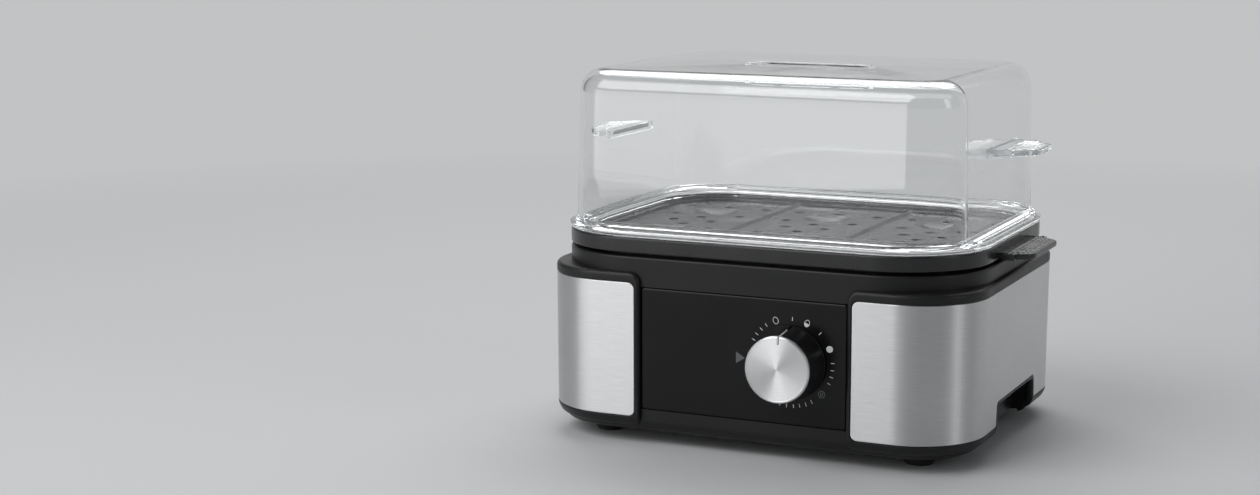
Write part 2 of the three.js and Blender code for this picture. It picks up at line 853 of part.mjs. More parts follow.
function heatingDish() {
  const flangeOutline = inset(flangeSeatOutline, dishClearance);
  const mouth = inset(dishOpeningOutline, dishClearance);
  const levels = (thickness, top) => {
    const floor = dishUnderside + thickness;
    const list = [];
    for (let step = 0; step <= roundSteps; step += 1) {
      const angle = quarterTurn * step / roundSteps;
      const drawnIn = dishDraft + dishFloorRadius * (1 - Math.sin(angle)) + thickness;
      list.push({ outline: inset(mouth, drawnIn), z: floor + dishFloorRadius * (1 - Math.cos(angle)) });
    }
    list.push({ outline: inset(mouth, thickness), z: top });
    return list;
  };
  const flange = slab(flangeOutline, sealTop, flangeTop);
  const bowl = join(stack(levels(0, flangeTop)), flange);
  const seatRadiusWide = screwHeadRadius + seatGap;
  const screwSeats = dishScrewPlaces.map(([x, y]) => (
    post(seatRadiusWide, x, y, sealTop - overrun, flangeTop + overrun)
  ));
  return cut(bowl, stack(levels(dishSheet, flangeTop + overrun)), ...screwSeats);
}

function dishSeal() {
  const ring = cut(
    slab(inset(flangeSeatOutline, dishClearance), ledgeZ, sealTop),
    slab(inset(dishOpeningOutline, dishClearance - seatGap), ledgeZ - overrun, sealTop + overrun),
  );
  const holeRadius = screwHeadRadius + seatGap;
  const holes = dishScrewPlaces.map(([x, y]) => post(holeRadius, x, y, ledgeZ - overrun, sealTop + overrun));
  return cut(ring, ...holes);
}

// A countersunk screw whose head is level with the dish flange
function dishScrew(x, y) {
  const head = flangeTop;
  const neck = head - dishHeadDepth;
  const tip = ledgeZ - dishScrewLength;
  const profile = [[0, tip], [screwRadius, tip], [screwRadius, neck], [screwHeadRadius, head], [0, head]];
  return turnedUpright(profile, x, y, smallTurnSteps);
}

// A pan-head screw driven upwards, with its head under a plate
function risingScrew(x, y, seatZ, length) {
  const head = seatZ - screwHeadHeight;
  const tip = seatZ + length;
  return turnedUpright([
    [0, head],
    [screwHeadRadius, head],
    [screwHeadRadius, seatZ],
    [screwRadius, seatZ],
    [screwRadius, tip],
    [0, tip],
  ], x, y, smallTurnSteps);
}

// A pan-head screw driven forwards, with its head behind a plate
function forwardScrew(x, z, seatY, tipY) {
  const head = seatY + screwHeadHeight;
  return turnedLevel([
    [0, tipY],
    [screwRadius, tipY],
    [screwRadius, seatY],
    [screwHeadRadius, seatY],
    [screwHeadRadius, head],
    [0, head],
  ], x, z, smallTurnSteps);
}

function heatSpreader() {
  const disc = post(spreaderRadius, 0, 0, spreaderUnderside, spreaderTop, turnSteps);
  const holes = heaterScrewPlaces().map(([x, y]) => (
    post(screwHoleRadius, x, y, spreaderUnderside - overrun, spreaderTop + overrun, holeSteps)
  ));
  return cut(disc, ...holes);
}

// Undersides of the two plates held under the heat spreader, where their screw heads bear
const clampUnderside = spreaderUnderside - 2 * seatGap - 2 * elementTubeRadius - clampThickness;
const bracketUnderside = spreaderUnderside - 2 * seatGap - thermostatHeight - clampThickness;

// The screws that hold the element clamp, the thermostat bracket and the fuse clip
function heaterScrewPlaces() {
  const clampX = elementRadius + elementTubeRadius + seatGap + clampFootLength / 2 + clampThickness;
  return [[clampX, 0], [-clampX, 0], [bracketReach, thermostatY], [bracketReach, fuseScrewY]];
}

// A point at the element ring's radius
function onElementRing(degrees, z) {
  return [elementRadius * Math.cos(radians(degrees)), elementRadius * Math.sin(radians(degrees)), z];
}

// The heater tube: a ring open at the rear, whose two ends bend down
function heatingElement() {
  const openings = [rearDegrees + elementEndAngle, rearDegrees + fullDegrees - elementEndAngle];
  const ring = [];
  for (let i = 0; i <= elementRingPoints; i += 1) {
    const degrees = openings[0] + (openings[1] - openings[0]) * i / elementRingPoints;
    ring.push(onElementRing(degrees, elementCentreZ));
  }
  const bends = openings.map((opening, end) => {
    const turn = elementBendDegrees * (end === 0 ? -1 : 1);
    const points = [onElementRing(opening + turn, elementEndZ)];
    for (let step = 0; step < roundSteps; step += 1) {
      const angle = quarterTurn * step / roundSteps;
      const z = elementCentreZ - elementBendRadius * (1 - Math.sin(angle));
      points.push(onElementRing(opening + turn * Math.cos(angle), z));
    }
    return points;
  });
  const points = [...bends[0], ...ring, ...bends[1].reverse()];
  const pinTop = elementEndZ + pinLength;
  const pins = elementEnds().map(([x, y, z]) => post(pinRadius, x, y, z, pinTop, holeSteps));
  return join(tube(points, elementTubeRadius, elementTubeSteps), ...pins);
}

// The lower ends of the element's two pins
function elementEnds() {
  const turn = elementEndAngle - elementBendDegrees;
  const pinFoot = elementEndZ - pinLength;
  return [rearDegrees + turn, rearDegrees - turn].map((degrees) => onElementRing(degrees, pinFoot));
}

function elementClamp() {
  const [[footCentre]] = heaterScrewPlaces();
  const half = footCentre + clampFootLength / 2;
  const inner = footCentre - clampFootLength / 2;
  const low = clampUnderside;
  const strip = block(-half, half, -clampWidth / 2, clampWidth / 2, low, low + clampThickness);
  const foot = block(inner, half, -clampWidth / 2, clampWidth / 2, low, spreaderUnderside);
  const holes = [footCentre, -footCentre].map((x) => (
    post(screwHoleRadius, x, 0, low - overrun, spreaderUnderside + overrun, holeSteps)
  ));
  return cut(join(strip, foot, mirrored(foot, -1)), ...holes);
}

function boilDryThermostat() {
  const top = spreaderUnderside - seatGap;
  const shoulder = top - thermostatHeight;
  const bottom = shoulder - thermostatBodyHeight;
  const body = turnedUpright([
    [0, bottom],
    [thermostatBodyRadius, bottom],
    [thermostatBodyRadius, shoulder],
    [thermostatRadius, shoulder],
    [thermostatRadius, top],
    [0, top],
  ], 0, thermostatY);
  const tabs = thermostatTabX.map((x) => block(
    x - terminalTabThickness / 2,
    x + terminalTabThickness / 2,
    thermostatY - terminalTabWidth / 2,
    thermostatY + terminalTabWidth / 2,
    bottom - thermostatTabLength,
    bottom + terminalTabThickness,
  ));
  return join(body, ...tabs);
}
const thermostatTabX = [-thermostatTabSpacing / 2, thermostatTabSpacing / 2];
const thermostatReach = thermostatHeight + thermostatBodyHeight + thermostatTabLength;
const thermostatTabZ = spreaderUnderside - seatGap - thermostatReach;

function thermostatBracket() {
  const low = bracketUnderside;
  const high = low + clampThickness;
  const half = bracketWidth;
  const farX = bracketReach + bracketWidth / 2;
  const nearX = bracketReach - bracketWidth / 2;
  const strip = block(-thermostatRadius, farX, thermostatY - half, thermostatY + half, low, high);
  const foot = block(nearX, farX, thermostatY - half, thermostatY + half, low, spreaderUnderside);
  const eye = post(thermostatBodyRadius + seatGap, 0, thermostatY, low - overrun, high + overrun, turnSteps);
  const holeTop = spreaderUnderside + overrun;
  const hole = post(screwHoleRadius, bracketReach, thermostatY, low - overrun, holeTop, holeSteps);
  const ring = post(thermostatRadius + clampThickness, 0, thermostatY, low, high, turnSteps);
  return cut(join(strip, foot, ring), eye, hole);
}

function thermalFuse() {
  const z = spreaderUnderside - seatGap - fuseRadius;
  const half = fuseLength / 2;
  const tip = half + fuseLeadLength;
  const geometry = lathe([
    [0, -tip],
    [fuseLeadRadius, -tip],
    [fuseLeadRadius, -half],
    [fuseRadius, -half],
    [fuseRadius, half],
    [fuseLeadRadius, half],
    [fuseLeadRadius, tip],
    [0, tip],
  ], smallTurnSteps);
  geometry.rotateZ(-quarterTurn);
  geometry.translate(0, fuseY, z);
  return solid(geometry);
}

function fuseClip() {
  const high = spreaderUnderside;
  const low = high - 2 * seatGap - 2 * fuseRadius - clampThickness;
  const earLow = high - clampThickness;
  const halfX = fuseClipWidth / 2;
  const halfY = fuseRadius + seatGap + clampThickness;
  const nearY = fuseY - halfY;
  const awayY = fuseY + halfY;
  const farX = bracketReach + bracketWidth / 2;
  const under = block(-halfX, halfX, nearY, awayY, low, low + clampThickness);
  const wallAway = block(-halfX, halfX, awayY - clampThickness, awayY, low, high - seatGap);
  const wallNear = block(-halfX, halfX, nearY, nearY + clampThickness, low, earLow);
  const ear = block(-halfX, farX, fuseScrewY - bracketWidth / 2, nearY + clampThickness, earLow, high);
  const hole = post(screwHoleRadius, bracketReach, fuseScrewY, high - overrun, high + overrun, holeSteps);
  return cut(join(under, wallAway, wallNear, ear), hole);
}

// Screws under the heat spreader, each with its head against what it holds
function heaterScrews() {
  const seats = [clampUnderside, clampUnderside, bracketUnderside, spreaderUnderside - clampThickness];
  const tip = spreaderTop - seatGap;
  return heaterScrewPlaces().map(([x, y], i) => risingScrew(x, y, seats[i], tip - seats[i]));
}

function regulatorPlate() {
  const halfX = regulatorPlateWidth / 2;
  const halfZ = regulatorPlateHeight / 2;
  const radius = regulatorCornerRadius;
  const corners = [radius, radius, radius, radius];
  const outline = panelShape(dialX - halfX, dialX + halfX, dialZ - halfZ, dialZ + halfZ, corners);
  const plate = prismY(outline, mountingFaceY, mountingFaceY + regulatorPlateThickness);
  const through = [-bodyDepth, 0];
  const holes = regulatorScrewPlaces.map(([x, z]) => bar(screwHoleRadius, x, z, ...through, holeSteps));
  return cut(plate, bar(sleeveRadius + shaftClearance, dialX, dialZ, ...through, turnSteps), ...holes);
}

const regulatorFrontY = mountingFaceY + regulatorPlateThickness;
const regulatorBackY = regulatorFrontY + regulatorDepth;
const regulatorTabX = [dialX - terminalTabSpacing / 2, dialX + terminalTabSpacing / 2];

function regulatorBody() {
  const halfX = regulatorWidth / 2;
  const halfZ = regulatorHeight / 2;
  const radius = regulatorCornerRadius;
  const corners = [radius, radius, radius, radius];
  const outline = panelShape(dialX - halfX, dialX + halfX, dialZ - halfZ, dialZ + halfZ, corners);
  const box = prismY(outline, regulatorFrontY, regulatorBackY);
  const sleeveTip = fasciaFaceY(dialZ) + sleeveSetback;
  const sleeve = bar(sleeveRadius, dialX, dialZ, sleeveTip, regulatorFrontY + overrun, turnSteps);
  const tabs = regulatorTabX.map((x) => block(
    x - terminalTabThickness / 2,
    x + terminalTabThickness / 2,
    regulatorBackY - terminalTabThickness,
    regulatorBackY + terminalTabLength,
    dialZ - terminalTabWidth / 2,
    dialZ + terminalTabWidth / 2,
  ));
  const boreEnd = regulatorFrontY + shaftInsertion + shaftClearance;
  const bore = bar(shaftRadius + shaftClearance, dialX, dialZ, -bodyDepth, boreEnd, turnSteps);
  return cut(join(box, sleeve, ...tabs), bore);
}

// Where the knob starts and ends along its axis
const knobRearY = fasciaFaceY(dialZ + knobBaseRadius) - knobGap;
const knobFrontY = knobRearY - knobDepth;
const knobFaceBackY = knobFrontY + knobFaceThickness;

// All knob pieces are drawn about their own axis and then placed by their group
function knobSkirt() {
  const ceiling = knobFaceBackY + knobWeb;
  const bossEnd = knobRearY - knobBossSetback;
  const bore = shaftRadius + shaftClearance / 2;
  const skirt = turnedLevel([
    [0, knobFaceBackY],
    [knobFrontRadius, knobFaceBackY],
    [knobBaseRadius, knobRearY],
    [knobBaseRadius - knobShell, knobRearY],
    [knobFrontRadius - knobShell, ceiling],
    [knobBossRadius, ceiling],
    [knobBossRadius, bossEnd],
    [bore, bossEnd],
    [bore, bossEnd - knobBoreDepth],
    [0, bossEnd - knobBoreDepth],
  ], 0, 0, 2 * turnSteps);
  return cut(skirt, pointerForm(pointerWidth / 2 + seatGap, pointerDepth + seatGap, overrun, overrun));
}

// The strip along the top of the skirt: its half width, depth, height above the skirt and length past it
function pointerForm(halfWidth, depth, proud, past) {
  const shape = new THREE.Shape();
  shape.moveTo(knobFaceBackY, knobFrontRadius - depth);
  shape.lineTo(knobFaceBackY, knobFrontRadius + proud);
  shape.lineTo(knobRearY + past, knobBaseRadius + proud);
  shape.lineTo(knobRearY + past, knobBaseRadius - depth);
  shape.closePath();
  return prismX(shape, -halfWidth, halfWidth);
}

function knobFace() {
  const disc = turnedLevel([
    [0, knobFaceBackY],
    [knobFrontRadius, knobFaceBackY],
    [knobFrontRadius, knobFrontY + knobFaceChamfer],
    [knobFrontRadius - knobFaceChamfer, knobFrontY],
    [0, knobFrontY],
  ], 0, 0, 2 * turnSteps);
  const slotHalf = pointerWidth / 2 + seatGap;
  const slot = block(
    -slotHalf,
    slotHalf,
    knobFrontY - overrun,
    knobFaceBackY + overrun,
    knobFrontRadius - pointerSlotLength,
    knobFrontRadius + overrun,
  );
  return cut(disc, slot);
}

function regulatorShaft() {
  const front = knobRearY - knobBossSetback - knobBoreDepth + seatGap;
  const back = regulatorFrontY + shaftInsertion;
  const round = bar(shaftRadius, 0, 0, front, back, turnSteps);
  const flatEnd = knobRearY - knobBossSetback;
  const flat = block(-shaftRadius, shaftRadius, front - overrun, flatEnd, shaftFlat, shaftRadius + overrun);
  return cut(round, flat);
}

function knobSpringClip() {
  const inner = knobBossRadius + seatGap;
  const outer = inner + clipThickness;
  const from = radians(clipOpeningAngle / 2);
  const to = 2 * halfTurn - from;
  const ring = new THREE.Shape();
  ring.absarc(0, 0, outer, from, to, false);
  ring.absarc(0, 0, inner, to, from, true);
  ring.closePath();
  const front = knobFaceBackY + knobWeb + seatGap;
  const geometry = extruded(ring, clipWidth, turnSteps);
  geometry.rotateX(quarterTurn);
  geometry.translate(0, front + clipWidth, 0);
  return solid(geometry);
}

// The outline of the bottom cover, just inside the housing's lower rim
function coverOutline() {
  const level = bodyLevels(inset(podOutline, neckInset + wall), housingBottom)[0].outline;
  return inset(level, coverClearance);
}

function bottomCover() {
  const plate = slab(coverOutline(), coverUnderside, coverTop);
  const low = coverUnderside - overrun;
  const high = coverTop + overrun;
  const recesses = [1, -1].map((side) => fingerRecess(side, wall + coverClearance));
  const footHoles = footPlaces.map(([x, y]) => post(footStemRadius + seatGap, x, y, low, high));
  const screwHoles = bottomScrewPlaces.map(([x, y]) => post(screwHoleRadius, x, y, low, high, holeSteps));
  const slots = [];
  const slotNearY = ventGroupY - ventSlotLength / 2;
  const slotFarY = ventGroupY + ventSlotLength / 2;
  for (const groupX of [-ventGroupX, ventGroupX]) {
    for (let i = 0; i < ventSlotCount; i += 1) {
      const x = groupX + ventSlotPitch * (i - (ventSlotCount - 1) / 2);
      slots.push(block(x - ventSlotWidth / 2, x + ventSlotWidth / 2, slotNearY, slotFarY, low, high));
    }
  }
  return cut(plate, ...recesses, ...footHoles, ...screwHoles, ...slots);
}

function rubberFoot(x, y) {
  const stemTop = coverUnderside + footStemLength;
  return turnedUpright([
    [0, 0],
    [footWaistRadius, 0],
    [footRadius, footBevelHeight],
    [footRadius, coverUnderside],
    [footStemRadius, coverUnderside],
    [footStemRadius, stemTop],
    [0, stemTop],
  ], x, y, turnSteps);
}

function terminalBlock() {
  const halfX = terminalBlockLength / 2;
  const halfY = terminalBlockWidth / 2;
  const top = coverTop + terminalBlockHeight;
  const body = block(
    terminalBlockX - halfX,
    terminalBlockX + halfX,
    terminalBlockY - halfY,
    terminalBlockY + halfY,
    coverTop,
    top,
  );
  const wellFloor = terminalWellZ - seatGap;
  const well = (x) => post(terminalBarrelRadius, x, terminalBlockY, wellFloor, top + overrun);
  return cut(body, ...terminalWellX.map(well));
}
const terminalWellX = [-1, 0, 1].map((i) => terminalBlockX + i * terminalPitch);
const terminalWellZ = coverTop + terminalBlockHeight / 2 + seatGap;

function signalBuzzer() {
  const top = coverTop + buzzerHeight;
  const body = post(buzzerRadius, buzzerX, buzzerY, coverTop, top, turnSteps);
  const hole = post(buzzerHoleRadius, buzzerX, buzzerY, top - buzzerHoleDepth, top + overrun, holeSteps);
  return cut(body, hole);
}

function cordGland() {
  const wallOuter = neckOutline.halfY - draftAt(glandHeight + glandFlangeRadius) + seatGap;
  const wallInner = neckOutline.halfY - wall - draftAt(glandHeight - glandFlangeRadius) - seatGap;
  const out = wallOuter + glandFlangeThickness;
  const back = wallInner - glandCollarLength;
  return turnedLevel([
    [glandBoreRadius, back],
    [glandFlangeRadius, back],
    [glandFlangeRadius, wallInner],
    [glandRadius, wallInner],
    [glandRadius, wallOuter],
    [glandFlangeRadius, wallOuter],
    [glandFlangeRadius, out],
    [glandBoreRadius, out],
    [glandBoreRadius, back],
  ], glandX, glandHeight, turnSteps);
}

// An internal lead hung between two ends
function lead(from, to, sideways) {
  const middle = [(from[0] + to[0]) / 2 + sideways, (from[1] + to[1]) / 2, Math.min(from[2], to[2])];
  const [outFrom, outTo] = [from.slice(0, 3), to.slice(0, 3)].map((end, i) => {
    const away = [from, to][i][3];
    return end.map((value, axis) => value + away[axis]);
  });
  return tube([from.slice(0, 3), outFrom, middle, outTo, to.slice(0, 3)], leadRadius, leadSteps, leadSides);
}

// The ends of the internal leads, each with the way it sets off
function leadEnds() {
  const down = [0, 0, -leadSag];
  const up = [0, 0, leadSag];
  const back = [0, leadSag, 0];
  const gap = leadClearance;
  const [pinLeft, pinRight] = elementEnds();
  const fuseZ = spreaderUnderside - seatGap - fuseRadius;
  const fuseEnd = fuseLength / 2 + fuseLeadLength + gap + leadRadius;
  const tabY = regulatorBackY + terminalTabLength + gap;
  return {
    block: terminalWellX.map((x) => [x, terminalBlockY, terminalWellZ, up]),
    regulator: regulatorTabX.map((x) => [x, tabY, dialZ, back]),
    thermostat: thermostatTabX.map((x) => [x, thermostatY, thermostatTabZ - gap, down]),
    pins: [pinLeft, pinRight].map(([x, y, z]) => [x, y, z - gap, down]),
    fuse: [-1, 1].map((side) => [side * fuseEnd, fuseY, fuseZ - leadRadius, down]),
  };
}

function internalLeads() {
  const ends = leadEnds();
  return {
    lead_supply: lead(ends.block[2], ends.regulator[1], leadSag),
    lead_switched: lead(ends.regulator[0], ends.thermostat[1], 0),
    lead_element: lead(ends.thermostat[0], ends.pins[0], -leadSag),
    lead_fuse: lead(ends.pins[1], ends.fuse[1], leadSag),
    lead_return: lead(ends.fuse[0], ends.block[0], -2 * leadSag),
  };
}

// The three columns and two rows of egg seats
const seatPlaces = [-seatPitchX, 0, seatPitchX].flatMap((x) => [[x, -seatPitchY / 2], [x, seatPitchY / 2]]);
const ridgeX = seatPitchX / 2;

// Steam holes of one column, as shares of the seat spacings
const steamHoleShares = [
  [-0.35, 0.75], [0, 0.77], [0.35, 0.75],
  [-0.29, 0.29], [0.29, 0.29], [0, 0.155],
  [-0.17, -0.04], [0.17, -0.04], [0, -0.23],
  [-0.29, -0.4], [0.29, -0.4],
  [-0.35, -0.75], [0, -0.77], [0.35, -0.75],
];

// A finger tab seen from above, starting inside the wall it grows from
function tabShape(rootX, rootHalf, shoulderX, shoulderHalf, tipX, tipHalf) {
  const shape = new THREE.Shape();
  shape.moveTo(rootX, -rootHalf);
  shape.lineTo(shoulderX, -shoulderHalf);
  shape.quadraticCurveTo(tipX, -shoulderHalf, tipX, -tipHalf);
  shape.lineTo(tipX, tipHalf);
  shape.quadraticCurveTo(tipX, shoulderHalf, shoulderX, shoulderHalf);
  shape.lineTo(rootX, rootHalf);
  shape.closePath();
  return shape;
}

// The curve of an egg seat from its middle up to its edge, grown by a margin
function bowlProfile(margin, top, depth) {
  const edge = seatRadius + margin;
  const floorEdge = seatFloorRadius + margin;
  const bendRadius = (edge + floorEdge + depth) / 2;
  const bendHeight = top - depth * seatBendShare;
  return [[0, top - depth], [floorEdge, top - depth], [bendRadius, bendHeight], [edge, top]];
}

function eggTray() {
  const outer = stack([
    { outline: bandOutline, z: bandBottom },
    { outline: bandOutline, z: bandTop - bandEdge },
    { outline: inset(bandOutline, bandEdge), z: bandTop },
  ]);
  const rim = inset(bandOutline, rimWidth);
  const middle = inset(rim, middleStepWidth);
  const floor = inset(middle, lowerStepWidth);
  const skirtOutline = inset(flangeSeatOutline, 2 * dishClearance);
  const skirtRing = cut(
    slab(skirtOutline, skirtBottom, plateUnderside + plateThickness / 2),
    slab(inset(skirtOutline, skirtWall), skirtBottom - overrun, plateUnderside + plateThickness),
  );
  const wells = [
    slab(rim, bandTop - rimStepDepth, bandTop + overrun),
    slab(middle, bandTop - middleStepDepth, bandTop + overrun),
    slab(floor, plateTop, bandTop + overrun),
  ];
  const hollow = slab(inset(bandOutline, bandWall), bandBottom - overrun, plateUnderside);
  const ridges = [-ridgeX, ridgeX].map((x) => block(
    x - ridgeWidth / 2,
    x + ridgeWidth / 2,
    -floor.halfY - lowerStepWidth / 2,
    floor.halfY + lowerStepWidth / 2,
    plateTop - plateThickness / 2,
    plateTop + Math.min(ridgeHeight, plateDepth - middleStepDepth),
  ));
  const tabTop = bandBottom + trayTabThickness;
  const tipX = bandOutline.halfX + trayTabReach;
  const tab = prismZ(
    tabShape(
      bandOutline.halfX - bandWall / 2,
      trayTabRootHalf,
      tipX - trayTabCornerRadius,
      trayTabTipHalf,
      tipX,
      trayTabTipHalf - trayTabCornerRadius,
    ),
    bandBottom,
    tabTop,
  );
  const dipTop = plateTop + overrun;
  const dip = [...bowlProfile(0, plateTop, seatDepth), [seatRadius, dipTop], [0, dipTop]];
  const cupTop = plateTop - plateThickness / 2;
  const cup = [...bowlProfile(seatWall, cupTop, seatDepth + seatWall / 2), [0, cupTop]];
  const dips = seatPlaces.map(([x, y]) => turnedUpright(dip, x, y, seatTurnSteps));
  const cups = seatPlaces.map(([x, y]) => turnedUpright(cup, x, y, seatTurnSteps));
  const columns = [-seatPitchX, 0, seatPitchX];
  const holePlaces = columns.flatMap((columnX) => steamHoleShares.map(([shareX, shareY]) => (
    [columnX + shareX * seatPitchX, shareY * seatPitchY]
  )));
  const holes = holePlaces.map(([x, y]) => (
    post(steamHoleRadius, x, y, plateUnderside - overrun, plateTop + overrun, holeSteps)
  ));
  const body = join(cut(outer, ...wells, hollow), skirtRing, ...ridges, tab, mirrored(tab, -1), ...cups);
  return cut(body, ...dips, ...holes);
}

// Levels of the hood, drawn in by a thickness, with a rolled top edge
function hoodLevels(thickness, bottom) {
  const top = hoodTop - thickness;
  const radius = hoodTopRadius - thickness;
  const shoulder = hoodTop - hoodTopRadius;
  const leanAt = (z) => hoodDraft * (z - hoodBottom) / (shoulder - hoodBottom);
  const levels = [{ outline: inset(hoodOutline, thickness + leanAt(bottom)), z: bottom }];
  for (let step = 0; step <= cornerSteps; step += 1) {
    const angle = quarterTurn * step / cornerSteps;
    const drawnIn = thickness + hoodDraft + radius * (1 - Math.cos(angle));
    levels.push({ outline: inset(hoodOutline, drawnIn), z: top - radius * (1 - Math.sin(angle)) });
  }
  return levels;
}

// A long slot with round ends
function gripShape(margin) {
  const radius = gripWidth / 2 + margin;
  const half = gripLength / 2 - gripWidth / 2;
  const shape = new THREE.Shape();
  shape.absarc(half, 0, radius, -quarterTurn, quarterTurn, false);
  shape.absarc(-half, 0, radius, quarterTurn, 3 * quarterTurn, false);
  shape.closePath();
  return shape;
}

function hoodShell() {
  const wallForm = stack(hoodLevels(0, hoodBottom));
  const flangeTopZ = hoodBottom + hoodFlangeThickness;
  const lip = slab(hoodLipOutline, hoodBottom - hoodLipDrop, flangeTopZ);
  const mouth = slab(inset(hoodLipOutline, hoodWall), hoodBottom - overrun, flangeTopZ);
  const flange = slab(hoodFlangeOutline, hoodBottom, flangeTopZ);
  const stepTop = flangeTopZ + hoodStepHeight;
  const step = slab(hoodStepOutline, hoodBottom + hoodFlangeThickness / 2, stepTop);
  const room = stack(hoodLevels(hoodWall, flangeTopZ));
  const roomKept = cut(room, prismZ(gripShape(hoodWall), hoodTop - gripDepth - hoodWall, hoodTop));
  const tabTop = hoodBottom + hoodTabHeight;
  const wallX = hoodOutline.halfX - hoodDraft * hoodTabHeight / (hoodHeight - hoodTopRadius);
  const shoulderX = wallX + hoodTabShoulderReach;
  const rootX = wallX - hoodWall / 2;
  const tipX = wallX + hoodTabReach;
  const outline = tabShape(rootX, hoodTabRootHalf, shoulderX, hoodTabShoulderHalf, tipX, hoodTabTipHalf);
  const rib = block(
    rootX,
    wallX + hoodTabRibReach,
    -hoodTabRootHalf,
    hoodTabRootHalf,
    tabTop - hoodTabThickness - hoodTabRibDrop,
    tabTop + hoodTabRibRise,
  );
  const tab = join(prismZ(outline, tabTop - hoodTabThickness, tabTop), rib);
  const body = cut(join(wallForm, lip, flange, step, tab, mirrored(tab, -1)), roomKept, mouth);
  const ventFloor = hoodTop - hoodTopRadius;
  const vents = [-ventHoleX, ventHoleX].map((x) => post(ventHoleRadius, x, 0, ventFloor, hoodTop + overrun));
  return cut(body, prismZ(gripShape(0), hoodTop - gripDepth, hoodTop + overrun), ...vents);
}

// The base: everything that stays on the worktop
const base = new THREE.Group();
base.add(
  piece('base_housing', baseHousing(), blackPlastic),
  piece('control_fascia', controlFascia(), glossBlack),
  piece('steel_wrap_right', steelWrap(1), brushedSteel),
  piece('steel_wrap_left', steelWrap(-1), brushedSteel),
  piece('heating_dish', heatingDish(), plainSteel),
  piece('dish_seal', dishSeal(), silicone),
  piece('heat_spreader', heatSpreader(), aluminium),
  piece('heating_element', heatingElement(), plainSteel),
  piece('element_clamp', elementClamp(), plainSteel),
  piece('boil_dry_thermostat', boilDryThermostat(), greyPlastic),
  piece('thermostat_bracket', thermostatBracket(), plainSteel),
  piece('thermal_fuse', thermalFuse(), aluminium),
  piece('fuse_clip', fuseClip(), plainSteel),
  piece('regulator_plate', regulatorPlate(), plainSteel),
  piece('regulator_body', regulatorBody(), palePlastic),
  piece('indicator_lens', indicatorLens(), greyPlastic),
  piece('indicator_lamp', indicatorLamp(), lampGlass),
  piece('lamp_holder', lampHolder(), palePlastic),
  piece('signal_buzzer', signalBuzzer(), glossBlack),
  piece('terminal_block', terminalBlock(), palePlastic),
  piece('cord_gland', cordGland(), blackPlastic),
  piece('bottom_cover', bottomCover(), blackPlastic),
);
footPlaces.forEach(([x, y], i) => base.add(piece(`rubber_foot_${i + 1}`, rubberFoot(x, y), rubber)));
bottomScrewPlaces.forEach(([x, y], i) => {
  base.add(piece(`cover_screw_${i + 1}`, risingScrew(x, y, coverUnderside, bottomScrewLength), plainSteel));
});
dishScrewPlaces.forEach(([x, y], i) => base.add(piece(`dish_screw_${i + 1}`, dishScrew(x, y), plainSteel)));
fasciaScrewPlaces.forEach(([x, z], i) => {
  const tipY = fasciaFaceY(z) + fasciaScrewSkin;
  base.add(piece(`fascia_screw_${i + 1}`, forwardScrew(x, z, mountingFaceY, tipY), plainSteel));
});
regulatorScrewPlaces.forEach(([x, z], i) => {
  const tipY = fasciaFaceY(z) + fasciaThickness + 2 * seatGap;
  base.add(piece(`regulator_screw_${i + 1}`, forwardScrew(x, z, regulatorFrontY, tipY), plainSteel));
});
heaterScrews().forEach((body, i) => base.add(piece(`heater_screw_${i + 1}`, body, plainSteel)));
Object.entries(internalLeads()).forEach(([name, body]) => base.add(piece(name, body, leadJacket)));

// The knob turns about the dial's axis
const knob = new THREE.Group();
knob.position.set(dialX, 0, dialZ);
knob.rotation.y = radians(knobRestAngle);
knob.add(
  piece('knob_skirt', knobSkirt(), blackPlastic),
  piece('knob_face', knobFace(), spunAluminium),
  piece('knob_pointer', pointerForm(pointerWidth / 2, pointerDepth, pointerProud, 0), palePlastic),
  piece('regulator_shaft', regulatorShaft(), plainSteel),
  piece('knob_spring_clip', knobSpringClip(), plainSteel),
);

// The tray lifts off the base, and the hood lifts off the tray
const tray = piece('egg_tray', eggTray(), blackPlastic);
const hood = piece('clear_hood', hoodShell(), clearPlastic);

// The whole machine stands with the middle of its box over the origin
const eggBoiler = new THREE.Group();
eggBoiler.add(base, knob, tray, hood);
eggBoiler.position.y = -(knobFrontY + podOutline.halfY) / 2;

export default eggBoiler;
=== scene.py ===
import math

import bmesh
import bpy
import numpy as np
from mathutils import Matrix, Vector
from mathutils.geometry import delaunay_2d_cdt


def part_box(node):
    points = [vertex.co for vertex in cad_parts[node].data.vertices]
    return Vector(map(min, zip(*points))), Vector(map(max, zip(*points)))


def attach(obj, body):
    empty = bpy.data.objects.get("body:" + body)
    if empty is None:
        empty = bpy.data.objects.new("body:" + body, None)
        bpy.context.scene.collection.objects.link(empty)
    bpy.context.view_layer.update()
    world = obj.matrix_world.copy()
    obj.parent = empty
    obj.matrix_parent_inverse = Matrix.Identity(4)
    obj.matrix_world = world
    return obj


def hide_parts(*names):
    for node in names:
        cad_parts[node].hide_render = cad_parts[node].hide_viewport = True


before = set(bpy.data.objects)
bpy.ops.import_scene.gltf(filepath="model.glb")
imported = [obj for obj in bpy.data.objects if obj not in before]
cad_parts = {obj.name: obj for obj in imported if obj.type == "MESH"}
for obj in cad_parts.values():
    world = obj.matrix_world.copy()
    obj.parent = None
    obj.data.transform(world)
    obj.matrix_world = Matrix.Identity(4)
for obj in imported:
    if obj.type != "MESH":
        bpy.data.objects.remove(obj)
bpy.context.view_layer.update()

# Shapes are worked out in millimetres about the middle of the housing and written in metres
MM = 0.001
MIDDLE_Y = sum(corner.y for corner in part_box("base_housing")) / 2 / MM


def box_mm(node_name, digits=1):
    """A CAD node's lowest and highest corner in millimetres about the housing's middle, rounded, because
    the facets of the CAD's arcs fall a little short of them."""
    return np.round(np.array(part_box(node_name)) / MM - [0, MIDDLE_Y, 0], digits)


